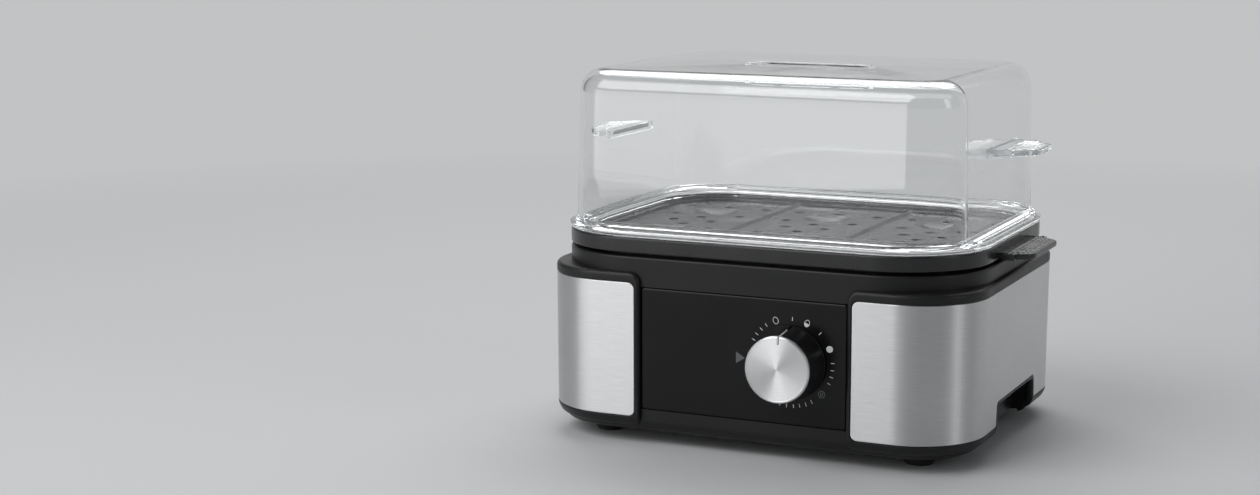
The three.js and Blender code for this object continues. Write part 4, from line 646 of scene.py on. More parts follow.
def pod_frame(side):
    """A rounded profile carried round between the pod's outline and the steel's: up over the outer edge,
    across the flat frame and down into the steel's seat."""
    outer, inner = pod_border(), steel_border()
    way = inner - outer
    width = np.linalg.norm(way, axis=1, keepdims=True)
    way = way / width
    near_top = np.clip((outer[:, 1] - POD_TOP + POD_SHELF_FADE) / POD_SHELF_FADE, 0, 1)
    deep = POD_ROOT + (POD_SHELF - POD_ROOT) * near_top
    large, small = POD_EDGE, POD_SEAT_EDGE
    rows = [(outer, deep)]
    rows += [(outer + way * e, h) for e, h in bend(large, large, large, 180, 270, 8)]
    rows += [(inner - way * (small + 0.35 * (width - large - small)), 0.0)]
    rows += [(inner - way * small + way * e, h) for e, h in bend(0, small, small, -90, 0, 5)]
    under = inner + way * STEEL_MARGIN
    rows += [(inner, STEEL_SEAT_DEPTH), (under, STEEL_SEAT_DEPTH), (under, POD_ROOT)]
    points = np.stack([pod_skin(side, p[:, 0], p[:, 1], h) for p, h in rows])
    return Shape().add(points, grid_faces(len(rows), len(outer), True, True))


def finger_pocket(side):
    """The recess's outline carried inwards to its back wall, which closes towards the foot's middle."""
    foot, top, low, high = RECESS_FOOT, RECESS_TOP_HALF, HOUSING_BOTTOM, RECESS_TOP
    corners = [(-foot, low), (-top, high), (top, high), (foot, low)]
    arc = 6
    loop = rounded_loop(corners, [0.01, RECESS_CORNER, RECESS_CORNER, 0.01], [8, 28, 8, 1], arc)
    path = loop[:-arc - 1]
    rows = []
    for depth in [POD_X - CORE_INSET - 1.2, RECESS_X + 4.5, RECESS_X + 1.6]:
        rows.append(np.column_stack([np.full(len(path), depth), path]))
    centre = np.array([0.0, low])
    for share, depth in [(0.985, RECESS_X + 0.5), (0.955, RECESS_X), (0.6, RECESS_X), (0.02, RECESS_X)]:
        shrunk = centre + (path - centre) * share
        rows.append(np.column_stack([np.full(len(path), depth), shrunk]))
    points = np.stack(rows)
    mouth = points[0]
    mouth[:, 0] -= lean(mouth[:, 2]) + under_round(mouth[:, 2], HOUSING_BOTTOM)
    points[1, :, 0] = np.minimum(points[1, :, 0], mouth[:, 0])
    points[..., 0] *= side
    return Shape().add(points, grid_faces(len(rows), len(path)))


def edge_roll(distance, radius):
    """The drop of a rolled edge at a distance from it: a quarter circle."""
    within = np.minimum(distance, radius)
    return radius - np.sqrt(np.maximum(radius**2 - (radius - within) ** 2, 0))


def distance_to(border, points):
    """The distance of each point from a closed polyline."""
    a, b = border, np.roll(border, -1, 0)
    d = b - a
    length = np.maximum((d**2).sum(1), 1e-12)
    p = points.reshape(-1, 1, 2)
    share = np.clip(((p - a) * d).sum(2) / length, 0, 1)
    away = p - a - share[..., None] * d
    return np.sqrt((away**2).sum(2).min(1)).reshape(points.shape[:-1])


def cut_sheet(border, spacing, rows, roll):
    """Columns of points across the inside of a border, closer together near it, with the drop of the
    rolled edge."""
    left, right = border[:, 0].min(), border[:, 0].max()
    near = np.array([0, 0.1, 0.25, 0.45, 0.7, 1.0, 1.5]) * roll
    order = np.argsort(border[:, 0], kind="stable")
    split = (border[:, 1].max() + border[:, 1].min()) / 2
    chains = []
    for upper in (False, True):
        half = border[order]
        half = half[(half[:, 1] > split) == upper]
        chains.append(half)
    own = np.concatenate([c[:, 0] for c in chains])
    columns = np.unique(np.round(np.concatenate([
        np.arange(left + spacing, right - spacing / 2, spacing), left + near, right - near, own,
    ]), 3))
    columns = columns[np.concatenate([[True], np.diff(columns) > 0.03])]
    low = np.interp(columns, chains[0][:, 0], chains[0][:, 1])
    high = np.interp(columns, chains[1][:, 0], chains[1][:, 1])
    share = steps(0, 1, rows)[1:-1]
    body = low + near[-1] + (high - low - 2 * near[-1]) * share[:, None]
    z = np.concatenate([low + near[:, None], body, high - near[::-1, None]])
    flat = np.stack([np.broadcast_to(columns, z.shape), z], 2)
    return flat, edge_roll(distance_to(border, flat), roll)


def steel_wrap(side):
    """A cut sheet laid on the pod's skin, its edges rolled inwards."""
    flat, drop = cut_sheet(steel_border(STEEL_GAP), 2.5, 14, STEEL_EDGE)
    t, z = flat[..., 0], flat[..., 1]
    top = pod_skin(side, t, z, STEEL_SINK + drop)
    under = pod_skin(side, t, z, STEEL_SINK + STEEL_THICK)
    return Shape().sheet(top, under, flat * MM)


def fascia_y(z):
    """The leaning front face of the fascia."""
    return -(NECK_Y + FASCIA_PROUD - lean(z))


def fascia_panel():
    """A cut sheet leaning with the body, its edges rolled."""
    corners = [
        (-FASCIA_HALF, FASCIA_LOW), (FASCIA_HALF, FASCIA_LOW), (FASCIA_HALF, FASCIA_HIGH),
        (-FASCIA_HALF, FASCIA_HIGH),
    ]
    flat, drop = cut_sheet(rounded_loop(corners, [FASCIA_CORNER] * 4, [12, 8, 12, 8]), 6.0, 12, FASCIA_EDGE)
    x, z = flat[..., 0], flat[..., 1]
    top = np.stack([x, fascia_y(z) + drop, z], 2)
    under = np.stack([x, fascia_y(z) + FASCIA_THICK, z], 2)
    return Shape().sheet(top, under)


HANDS = ((1, "right"), (-1, "left"))
core = solidified("housing_core", housing_core(), SHELL)
dress("housing_core", core, satin_black, "black_plastic", "base", "base_housing")
for side, hand in HANDS:
    dress("pod_frame_" + hand, pod_frame(side), satin_black, "black_plastic", "base", "base_housing")
    pocket = solidified("finger_recess_" + hand, finger_pocket(side), POCKET_WALL)
    dress("finger_recess_" + hand, pocket, satin_black, "black_plastic", "base", "base_housing")
    wrap_node = "steel_wrap_" + hand
    dress(wrap_node + "_skin", steel_wrap(side), steel, "brushed_steel", "base", wrap_node)
dress("fascia_panel", fascia_panel(), fascia_black, "fascia_plastic", "base", "control_fascia")


# Heating dish, pressed from sheet
def dish_shell():
    """A flange and a bowl with a round foot, followed over and back under by the sheet's thickness."""
    mouth_inset, flange_inset = DISH_OPENING_INSET + DISH_CLEARANCE, FLANGE_SEAT_INSET + DISH_CLEARANCE
    top, floor = dish_high[2], dish_low[2] + DISH_SHEET
    draft, foot_radius = 7.0, 4.0
    upper = [(flange_inset, top - 0.5), (flange_inset + 0.15, top - 0.1), (flange_inset + 0.5, top)]
    bowl = [(0.0, top), (0.8, top - 0.25), (1.2, top - 0.9)]
    bowl += [(2.0 + (draft - 2.0) * s, top - 2.0 - 8.0 * s) for s in steps(0, 1, 3)]
    bowl += bend(draft + foot_radius, floor + foot_radius, foot_radius, 190, 270, 8)
    bowl += [(30.0, floor), (60.0, floor)]
    upper += [(mouth_inset + drawn, z) for drawn, z in bowl]
    inwards = [0 if k < 4 else 0.9 * DISH_SHEET for k in range(len(upper))]
    lower = [(drawn + extra, z - DISH_SHEET) for (drawn, z), extra in zip(upper, inwards)]
    levels = drawn_in(NECK_X, NECK_Y, NECK_RADIUS, upper + lower[::-1])
    levels = [(x, y, max(radius, 2.0), z) for x, y, radius, z in levels]
    marks = [[], [-20, 20], [], [-20, 20]]
    shape = Shape().loft(levels, marks, closed=True)
    inner = mouth_inset + 60.0
    floor_plate = [(NECK_X - inner, NECK_Y - inner, 2.0, z) for z in (floor - DISH_SHEET, floor)]
    return shape.loft(floor_plate, marks, caps=True)


dress("dish_pressing", dish_shell(), dish_steel, "dish_steel", "base", "heating_dish")


# Rubber feet and cord gland
def foot(x, y, top):
    """A turned foot with rounded edges and a stem that holds it in the cover."""
    edge, high, stem = FOOT_RADIUS, FOOT_HEIGHT, FOOT_STEM_RADIUS
    profile = [
        (NEAR_AXIS, 0), (edge - 2.4, 0), (edge - 1.7, 0.25), (edge - 1.3, 0.8), (edge - 0.3, 2.6),
        (edge, 3.4), (edge, high - 0.6), (edge - 0.3, high), (stem, high), (stem, top - 0.4),
        (stem - 0.4, top), (NEAR_AXIS, top),
    ]
    return Shape().turned(profile, (x, y), sides=40)


for name in [f"rubber_foot_{i}" for i in range(1, 5)]:
    foot_low, foot_high = box_mm(name)
    middle_x, middle_y = (foot_low[:2] + foot_high[:2]) / 2
    dress(name + "_turned", foot(middle_x, middle_y, foot_high[2]), rubber, "rubber", "base", name)


def cord_gland():
    """A turned bush: a flange inside the wall, a neck through it, and a rounded flange outside."""
    near, far = gland_low[1], gland_high[1]
    outside, neck, bore = GLAND_RADIUS, GLAND_NECK_RADIUS, GLAND_BORE_RADIUS
    profile = [
        (bore, near), (outside - 0.1, near), (outside, near + 2.4), (neck, near + 2.5), (neck, far - 2.5),
        (outside - 0.2, far - 2.4), (outside, far - 2.0), (outside - 0.2, far - 0.8),
        (outside - 0.9, far - 0.15), (bore + 1.0, far), (bore + 0.4, far - 0.2), (bore, far - 0.8),
        (bore, near),
    ]
    return Shape().turned(profile, (GLAND_X, GLAND_Z), "y", 48)


dress("cord_gland_turned", cord_gland(), satin_black, "black_plastic", "base", "cord_gland")


# Egg tray
seat_places = [(x, y) for x in (-SEAT_X, 0, SEAT_X) for y in (-SEAT_Y, SEAT_Y)]
hole_places = [(x + a * SEAT_X, b * HOLE_PITCH_Y) for x in (-SEAT_X, 0, SEAT_X) for a, b in HOLE_SHARES]


def ring_at(x, y, radius, sides):
    """Points of a circle seen from above."""
    angle = steps(0, 2 * math.pi, sides + 1)[:-1]
    return np.stack([x + radius * np.cos(angle), y + radius * np.sin(angle)], 1)


def flat_mesh(border, rings, windows):
    """A flat surface inside a border, through all rings of points, open in the windows. Returns the
    points, the triangles, and the indices of the border's and windows' points."""
    loops = [border, *rings, *windows]
    points = np.concatenate(loops)
    edges, start, spans = [], 0, []
    for loop in loops:
        index = np.arange(start, start + len(loop))
        spans.append(index)
        edges.append(np.stack([index, np.roll(index, -1)], 1))
        start += len(loop)
    corners = [Vector(p) for p in points.tolist()]
    found = delaunay_2d_cdt(corners, np.concatenate(edges).tolist(), [], 0, 1e-5)
    flat = np.array([list(v) for v in found[0]])
    where = np.zeros(len(points), int)
    for new, olds in enumerate(found[3]):
        where[olds] = new
    triangles = np.array(found[2])
    middle = flat[triangles].mean(1)
    keep = inside(border, middle)
    for window in windows:
        keep &= ~inside(window, middle)
    return flat, triangles[keep], [where[s] for s in spans]


def inside(loop, points):
    """True for points within a closed loop: a ray from each crosses it an odd number of times."""
    a, b = loop, np.roll(loop, -1, 0)
    px, py = points[:, 0, None], points[:, 1, None]
    crosses = (a[:, 1] > py) != (b[:, 1] > py)
    rise = np.where(np.abs(b[:, 1] - a[:, 1]) < 1e-12, 1e-12, b[:, 1] - a[:, 1])
    at = a[:, 0] + (py - a[:, 1]) * (b[:, 0] - a[:, 0]) / rise
    return (crosses & (px < at)).sum(1) % 2 == 1


def plate_height(flat):
    """The plate's top: level, with a quarter-circle edge at each hole and, inside a small lip at each egg
    seat, a dish whose depth falls off with the square of the distance from its middle."""
    z = np.full(len(flat), PLATE_TOP)
    for x, y in seat_places:
        r = np.hypot(flat[:, 0] - x, flat[:, 1] - y)
        bowl = SEAT_LIP + SEAT_DEPTH * (1 - (r / SEAT_RADIUS) ** 2)
        lip = SEAT_LIP * np.clip((SEAT_RADIUS + SEAT_LIP_WIDTH - r) / SEAT_LIP_WIDTH, 0, 1) ** 2
        z = np.where(r < SEAT_RADIUS + SEAT_LIP_WIDTH, PLATE_TOP - np.where(r < SEAT_RADIUS, bowl, lip), z)
    for x, y in hole_places:
        r = np.hypot(flat[:, 0] - x, flat[:, 1] - y)
        across = np.clip(1 - (r - HOLE_RADIUS) / HOLE_ROLL, 0, 1)
        z = np.where(across > 0, PLATE_TOP - HOLE_ROLL * (1 - np.sqrt(1 - across**2)), z)
    return z


def tongue(side, border, root_x, top_z, thickness, roll, pitch, margin, dot_height, first_row):
    """A flat tongue standing out sideways: its outline is drawn in (across, out), its top carries a
    lattice of dots, each a cosine hump, kept clear of the edge by a margin and of the root by the first
    row's distance."""
    flat, drop = cut_sheet(border, 0.42, 40, roll)
    across, out = flat[..., 0], flat[..., 1]
    distance = distance_to(border, flat)
    row = np.round(out / pitch)
    shift = np.where(row % 2 == 0, 0, pitch / 2)
    dx = across - shift - np.round((across - shift) / pitch) * pitch
    dy = out - row * pitch
    hump = np.clip(np.cos(np.clip(np.hypot(dx, dy) / (DOT_SHARE * pitch), 0, 1) * math.pi / 2), 0, 1) ** 1.2
    hump = np.where((distance > margin) & (out > first_row), hump, 0)
    x, y = side * (root_x + out), -side * across
    top = np.stack([x, y, top_z - drop + dot_height * hump], 2)
    under = np.stack([x, y, top_z - thickness + np.minimum(drop, thickness / 2)], 2)
    return Shape().sheet(top, under)


def tray_tab(side):
    """A tongue with rolled edges and rows of small raised dots on top."""
    root, tip, reach = TRAY_TAB_ROOT_HALF, TRAY_TAB_TIP_HALF, TRAY_TAB_REACH
    corners = [(-root, -1.5), (root, -1.5), (tip, reach), (-tip, reach)]
    border = rounded_loop(corners, [0.3, 0.3, TRAY_TAB_CORNER, TRAY_TAB_CORNER], [30, 10, 24, 10], 10)
    return tongue(side, border, BAND_X, TRAY_TAB_TOP, TRAY_TAB_THICK,
                  roll=1.0, pitch=2.3, margin=2.4, dot_height=0.5, first_row=3.0)


def tray_rim():
    """The rim's levels, drawn in from the band: from the plate up over two steps and the band's rounded
    top, down outside and back under the plate."""
    rim, middle, floor, step = RIM_INSET, MIDDLE_STEP_INSET, PLATE_INSET, MIDDLE_STEP_Z
    profile = [(floor, PLATE_TOP), (floor - 0.35, PLATE_TOP + 0.1), (floor - 0.55, PLATE_TOP + 0.45)]
    profile += [(floor - 0.6, step - 0.4), (floor - 0.8, step - 0.08), (floor - 1.1, step)]
    profile += [(middle + 0.3, step), (middle + 0.1, step + 0.1), (middle, step + 0.35)]
    profile += [(middle - 0.1, RIM_Z - 0.25), (middle - 0.3, RIM_Z - 0.06), (middle - 0.6, RIM_Z)]
    profile += [(rim + 0.6, RIM_Z), (rim + 0.2, RIM_Z + 0.12), (rim, RIM_Z + 0.5), (rim, BAND_HIGH - 0.5)]
    profile += [(rim - 0.2, BAND_HIGH - 0.12), (rim - 0.6, BAND_HIGH)]
    profile += bend(BAND_EDGE, BAND_HIGH - BAND_EDGE, BAND_EDGE, 90, 180, 7)
    profile += bend(BAND_FOOT_EDGE, BAND_LOW + BAND_FOOT_EDGE, BAND_FOOT_EDGE, 180, 270, 5)
    profile += [(BAND_WALL - 0.3, BAND_LOW), (BAND_WALL, BAND_LOW + 0.3), (BAND_WALL, PLATE_UNDER - 0.4)]
    profile += [(BAND_WALL + 0.4, PLATE_UNDER), (floor, PLATE_UNDER)]
    return drawn_in(BAND_X, BAND_Y, BAND_RADIUS, profile)


def perforated_plate(border):
    """The plate inside its border: a flat net of triangles through rings round seats and holes, raised to
    the plate's height, with a second net below it and a wall down each hole."""
    rings = []
    for x, y in seat_places:
        radii = [SEAT_RADIUS + out for out in (1.4, SEAT_LIP_WIDTH, 0.6, 0.25, -0.02, -0.25)]
        radii += [12.8, 12.2, 11.2, 10.0, 8.4, 6.6, 5.0, 3.4, 1.6]
        rings += [ring_at(x, y, r, 48 if r > 6 else 24) for r in radii]
    rolled = [HOLE_RADIUS + share * HOLE_ROLL for share in (1.15, 1.0, 0.65, 0.38, 0.16, 0.04)]
    rings += [ring_at(x, y, r, HOLE_SIDES) for x, y in hole_places for r in rolled]
    windows = [ring_at(x, y, HOLE_RADIUS, HOLE_SIDES) for x, y in hole_places]
    flat, triangles, spans = flat_mesh(border, rings, windows)
    height = plate_height(flat)
    top = np.column_stack([flat, height])
    under = np.column_stack([flat, np.minimum(PLATE_UNDER, height - SEAT_WALL)])
    under[spans[0], 2] = PLATE_UNDER
    size = len(flat)
    faces = triangles.tolist() + (triangles[:, ::-1] + size).tolist()
    for span in spans[-len(windows):]:
        under[span, 2] = PLATE_UNDER
        after = np.roll(span, -1)
        faces += [[a, b, b + size, a + size] for a, b in zip(span.tolist(), after.tolist())]
    return np.concatenate([top, under]), faces


def ridge(x):
    """A low roof-shaped bar from front to back across the plate."""
    edge, crest = RIDGE_HALF, 0.2
    half = [(edge, PLATE_TOP - 0.6), (edge, PLATE_TOP), (edge - 0.15, PLATE_TOP + 0.1)]
    half += [(crest + 0.25, RIDGE_TOP - 0.1), (crest, RIDGE_TOP)]
    cross = half + [(-a, z) for a, z in half[::-1]]
    reach = BAND_Y - PLATE_INSET + 2.2
    ends = [np.array([(x + a, y, z) for a, z in cross]) for y in (-reach, reach)]
    return np.concatenate(ends), tube_faces(2, len(cross))


def tray_body():
    """The rim carried round, closed by the perforated plate, with the skirt that hangs into the dish and
    two ridges."""
    marks = [[-20, 20], [-40, 0, 40], [-20, 20], [-40, 0, 40]]
    shape = Shape().loft(tray_rim(), marks, arc=18)
    inside_rim = (BAND_X - PLATE_INSET, BAND_Y - PLATE_INSET, BAND_RADIUS - PLATE_INSET)
    shape.add(*perforated_plate(round_rectangles(*inside_rim, 18, marks)[0]))
    near, far = TRAY_SKIRT_INSET, TRAY_SKIRT_INSET + TRAY_SKIRT_WALL
    low, high = TRAY_SKIRT_LOW, PLATE_UNDER + 0.6
    skirt = [(near, low + 0.2), (near, high), (far, high)]
    skirt += [(far, low + 0.2), (far - 0.2, low), (near + 0.2, low)]
    shape.loft(drawn_in(NECK_X, NECK_Y, NECK_RADIUS, skirt), marks, arc=18, closed=True)
    for x in (-RIDGE_X, RIDGE_X):
        shape.add(*ridge(x))
    return shape


dress("tray_moulding", tray_body(), tray_black, "black_plastic", "egg_tray", "egg_tray")
for side, hand in HANDS:
    dress("tray_tab_" + hand, tray_tab(side), tray_black, "black_plastic", "egg_tray", "egg_tray")


# Clear hood
def hood_lean(z):
    """How far the wall has come in at a height: nothing at the foot, the whole lean at the shoulder."""
    return HOOD_LEAN * (z - HOOD_LOW) / (HOOD_SHOULDER - HOOD_LOW)


def hood_wall(heights, thickness):
    """Levels of the leaning wall at a depth from its outside."""
    return drawn_in(HOOD_X, HOOD_Y, HOOD_RADIUS, [(thickness + hood_lean(z), z) for z in heights])


def hood_roll(thickness):
    """Levels of the quarter circle from the wall over to the top, at a depth from its outside."""
    radius = HOOD_ROLL - thickness
    angle = np.radians(steps(0, 90, 15))
    drawn = thickness + HOOD_LEAN + radius * (1 - np.cos(angle))
    return drawn_in(HOOD_X, HOOD_Y, HOOD_RADIUS, list(zip(drawn, HOOD_SHOULDER + radius * np.sin(angle))))


def hood_body():
    """One closed profile carried round: from the grip slot over the top, down the wall, round the foot
    flange and lip, and back up inside, closed by the slot's floor with its two vents."""
    floor, under = HOOD_HIGH - GRIP_DEPTH, HOOD_HIGH - GRIP_DEPTH - HOOD_WALL
    slot_outside = [(0.9, floor), (0.5, floor + 0.1), (0.15, floor + 0.4), (0, floor + 0.9)]
    slot_outside += [(-0.1, HOOD_HIGH - 0.9), (-0.3, HOOD_HIGH - 0.35)]
    slot_outside += [(-0.7, HOOD_HIGH - 0.08), (-1.2, HOOD_HIGH)]
    slot_inside = [(-3.6, HOOD_HIGH - 2.5), (-2.9, HOOD_HIGH - 2.8), (-2.5, HOOD_HIGH - 3.4)]
    slot_inside += [(-2.4, under + 0.9), (-2.1, under + 0.3), (-1.4, under)]
    fillet = [(-0.1, STEP_TOP + 0.9), (-0.4, STEP_TOP + 0.3), (-0.9, STEP_TOP + 0.06)]
    step = [(0.9, STEP_TOP), (0.35, STEP_TOP - 0.12), (0.05, STEP_TOP - 0.5), (0, STEP_TOP - 1.2)]
    out, top, low, near, far = -FLANGE_OVERHANG, FLANGE_TOP, HOOD_LOW, LIP_INSET, LIP_INSET + HOOD_WALL
    flange = [(3.3, top + 0.25), (2.9, top), (0, top), (out + 0.3, top - 0.12), (out + 0.05, top - 0.5)]
    flange += [(out, top - 0.9), (out, low + 0.7), (out + 0.2, low + 0.2), (0, low)]
    lip = [(near - 0.6, low), (near - 0.1, low - 0.15), (near, LIP_LOW + 0.5), (near + 0.4, LIP_LOW)]
    lip += [(far - 0.4, LIP_LOW), (far, LIP_LOW + 0.5), (far, top - 0.3), (far - 0.2, top)]
    lines = [STEP_TOP + 2.0, *HOOD_WALL_LINES]
    rows = drawn_in(GRIP_X, GRIP_Y, GRIP_Y, slot_outside) + hood_roll(0)[::-1] + hood_wall(lines[::-1], 0)
    rows += drawn_in(HOOD_X, HOOD_Y, HOOD_RADIUS, fillet)
    rows += drawn_in(BAND_X - STEP_INSET, BAND_Y - STEP_INSET, STEP_RADIUS, step)
    rows += drawn_in(BAND_X, BAND_Y, BAND_RADIUS, flange + lip)
    rows += hood_wall([top], HOOD_WALL + 0.4) + hood_wall([top + 0.4, *lines], HOOD_WALL)
    rows += hood_roll(HOOD_WALL) + drawn_in(GRIP_X, GRIP_Y, GRIP_Y, slot_inside)
    half_x, half_y, radius, z = np.array(rows).T
    flat = round_rectangles(half_x, half_y, radius, 16, [[-15, 0, 15], [-10, 0, 10]] * 2)
    in_slot = half_y < GRIP_Y + 5
    slot_rows = half_x[in_slot], half_y[in_slot], radius[in_slot]
    flat[in_slot] = round_rectangles(*slot_rows, 16, [[0, 0, 0], [-10, 0, 10]] * 2)
    count, columns = flat.shape[:2]
    shape = Shape().add(raised(flat, z), grid_faces(count, columns, False, True))
    vent_rings = []
    for row, height in ((0, floor), (count - 1, under)):
        border = flat[row]
        apart = np.concatenate([[True], np.hypot(*np.diff(border, axis=0).T) > 1e-6])
        windows = [ring_at(x, 0, VENT_RADIUS, 28) for x in (-VENT_X, VENT_X)]
        plate, triangles = flat_mesh(border[apart], [], windows)[:2]
        if row:
            triangles = triangles[:, ::-1]
        shape.add(np.column_stack([plate, np.full(len(plate), height)]), triangles.tolist())
        vent_rings.append([np.column_stack([w, np.full(len(w), height)]) for w in windows])
    for upper, lower in zip(*vent_rings):
        shape.add(np.concatenate([upper, lower]), grid_faces(2, len(upper), False, True))
    return shape


def hood_tab(side):
    """A clear tongue with a plain strip and a rib at its root, and rows of raised dots beyond."""
    wall_x = HOOD_X - hood_lean(TAB_TOP)
    root, shoulder, tip = TAB_ROOT_HALF, TAB_SHOULDER_HALF, TAB_TIP_HALF
    corners = [
        (-root, TAB_RIB_REACH), (root, TAB_RIB_REACH), (shoulder, TAB_SHOULDER), (tip, TAB_REACH),
        (-tip, TAB_REACH), (-shoulder, TAB_SHOULDER),
    ]
    border = rounded_loop(corners, [0.2, 0.2, 9.0, 11.0, 11.0, 9.0], [26, 8, 8, 14, 8, 8], 8)
    shape = tongue(side, border, wall_x, TAB_TOP, TAB_THICK,
                   roll=0.6, pitch=3.0, margin=2.0, dot_height=0.6, first_row=7.6)
    low, high = TAB_TOP - TAB_THICK - TAB_RIB_DROP, TAB_TOP + TAB_RIB_RISE
    soft, least = TAB_RIB_EDGE, 0.04
    cross = [(least, low), *bend(TAB_RIB_REACH - soft, low + soft, soft, -90, 0, 5)]
    cross += [*bend(TAB_RIB_REACH - soft, high - soft, soft, 0, 90, 5), (least, high)]
    across = np.array([-root, -root + 0.1, -root + 0.5, root - 0.5, root - 0.1, root])
    shrink = np.array([0.45, 0.15, 0.0, 0.0, 0.15, 0.45])[:, None]
    out, z = np.array(cross).T
    middle = (low + high) / 2
    out = np.maximum(out - shrink, least)
    z = middle + (z - middle) * (1 - shrink / (high - low))
    points = np.stack([side * (wall_x + out), -side * across[:, None] + 0 * out, z], 2)
    return shape.add(points, tube_faces(len(across), len(cross)))


dress("hood_moulding", hood_body(), clear, "clear_plastic", "hood", "clear_hood")
for side, hand in HANDS:
    dress("hood_tab_" + hand, hood_tab(side), clear, "clear_plastic", "hood", "clear_hood")


# Knob, turned about the dial's axis
def cut_away(name, shape, cutter_shape):
    """The mesh of a shape with another shape taken out of it."""
    helper = in_scene(name + "_work", write_mesh(name, shape))
    cutter = in_scene(name + "_cutter", write_mesh(name + "_cutter", cutter_shape))
    modifier = helper.modifiers.new("cut", "BOOLEAN")
    modifier.operation = "DIFFERENCE"
    modifier.solver = "EXACT"
    modifier.object = cutter
    done = evaluated(helper)
    for item in (helper, cutter):
        bpy.data.objects.remove(item)
    return done


def about_dial(x, z, angle):
    """Positions measured from the dial's axis, turned clockwise from the front by an angle in degrees."""
    a = math.radians(angle)
    return DIAL_X + x * math.cos(a) + z * math.sin(a), DIAL_Z - x * math.sin(a) + z * math.cos(a)


def box_shape(x0, x1, y0, y1, z0, z1):
    """A block measured from the dial's axis, turned to the knob's rest angle."""
    corners = np.array([(x, y, z) for x in (x0, x1) for y in (y0, y1) for z in (z0, z1)], float)
    corners[:, 0], corners[:, 2] = about_dial(corners[:, 0], corners[:, 2], KNOB_REST)
    faces = [[0, 1, 3, 2], [4, 6, 7, 5], [0, 4, 5, 1], [2, 3, 7, 6], [0, 2, 6, 4], [1, 5, 7, 3]]
    return Shape().add(corners, faces)


def knob_face():
    """A turned disc with a rounded rim round a face sunk a little below it, and the pointer's slot cut
    through."""
    front, back, edge, sunk = KNOB_FRONT, FACE_BACK, FACE_RADIUS, KNOB_FRONT + FACE_SINK
    profile = [
        (NEAR_AXIS, back), (edge - 0.1, back), (edge, back - FACE_EDGE), (edge, front + 0.75),
        (edge - 0.05, front + 0.6), (edge - 0.65, front + 0.06), (edge - 0.85, front),
        (edge - 1.0, front + 0.02), (edge - 1.1, front + 0.1), (edge - 1.4, sunk), (12.0, sunk),
        (6.0, sunk), (2.0, sunk), (NEAR_AXIS, sunk),
    ]
    slot = box_shape(-SLOT_HALF, SLOT_HALF, front - 1, back + 1, SLOT_START, edge + 2)
    return cut_away("knob_face_disc", Shape().turned(profile, (DIAL_X, DIAL_Z), "y", 128), slot)


def knob_skirt():
    """A turned flaring skirt, hollow behind round a boss with a bore, and the pointer's groove cut into
    its slope."""
    front, rear, edge = FACE_BACK, KNOB_REAR, SKIRT_REAR_RADIUS
    profile = [
        (NEAR_AXIS, front + 0.01), (17.0, front + 0.01), (SKIRT_FRONT_RADIUS - 0.3, front + 0.15),
        (SKIRT_FRONT_RADIUS, front + 0.6), (edge - 0.5, rear - 1.9), (edge - 0.35, rear - 1.3),
        (edge - 0.05, rear - 1.0), (edge, rear - 0.5), (edge - 0.1, rear - 0.1), (edge - 0.3, rear),
        (KNOB_HOLLOW_RADIUS, rear), (KNOB_HOLLOW_RADIUS - 1.8, front + 2.5),
        (KNOB_BOSS_RADIUS, front + 2.5), (KNOB_BOSS_RADIUS, rear - 2.0), (KNOB_BORE_RADIUS, rear - 2.0),
        (KNOB_BORE_RADIUS, rear - KNOB_BORE_DEPTH), (NEAR_AXIS, rear - KNOB_BORE_DEPTH),
    ]
    groove = box_shape(-GROOVE_HALF, GROOVE_HALF, front - 1, rear + 1, GROOVE_FLOOR, edge + 2)
    return cut_away("knob_skirt_turned", Shape().turned(profile, (DIAL_X, DIAL_Z), "y", 112), groove)


def pointer_strip_and_slot_highlight():
    """A thin strip that follows the skirt's slope, rounded along its top, and white ink over the left half
    of the face's slot, a painted highlight where the slot's wall catches the light."""
    across = np.array([-0.32, -0.32, -0.22, 0.22, 0.32, 0.32])
    rise = np.array([-1.0, -0.1, 0.02, 0.02, -0.1, -1.0])
    share = np.array([0, 0.04, 0.3, 0.58, 0.6])[:, None]
    slope = SKIRT_FRONT_RADIUS + POINTER_FLARE * share
    x, z = about_dial(across + 0 * share, slope + rise, KNOB_REST)
    y = FACE_BACK + (KNOB_REAR - FACE_BACK) * share + 0 * x
    # Painted highlight: white ink in the left half of the face's slot stands for the slot's lit wall
    slot_highlight = box_shape(-SLOT_HALF + 0.05, -0.1, KNOB_FRONT + 0.3, FACE_BACK, SLOT_START + 0.2, FACE_RADIUS)
    return slot_highlight.add(np.stack([x, y, z], 2), tube_faces(*x.shape))


dress("knob_face_disc", knob_face(), spun, "spun_aluminium", "knob", "knob_face")
dress("knob_skirt_turned", knob_skirt(), satin_black, "black_plastic", "knob", "knob_skirt")
# The pointer strip, and the painted highlight in the face's slot
dress("knob_pointer_and_slot_highlight", pointer_strip_and_slot_highlight(), white_ink, "pale_plastic", "knob", "knob_pointer")


# Scale printed round the dial: ticks and egg signs
PRINT_RISE, MARK_RADIUS = 0.05, 23.4
TICK_HALF_WIDTH, TICK_HALF_LENGTH = 0.18, 1.0
TICK_ANGLES = [
    2.0, 44.0, 86.1, 95.5, 104.5, 113.8, 149.2, 158.0, 166.9, 175.4, 184.9, 194.0, 203.0, 212.0, 221.0,
    230.0, 239.0, 248.0, 257.0, 276.8, 296.6, 305.5, 314.9, 323.8,
]
EGG_HALF_X, EGG_HALF_Z, EGG_LINE = 1.55, 2.0, 0.3
EMPTY_EGG_ANGLE, HALF_EGG_ANGLE, FULL_EGG_ANGLE, RING_ANGLE = -21.4, 22.5, 67.4, 131.6


def ink_layer(outline, rise):
    """An outline in (x, z) laid on the leaning fascia, a little above or below its face."""
    return np.column_stack([outline[:, 0], fascia_y(outline[:, 1]) - rise, outline[:, 1]])


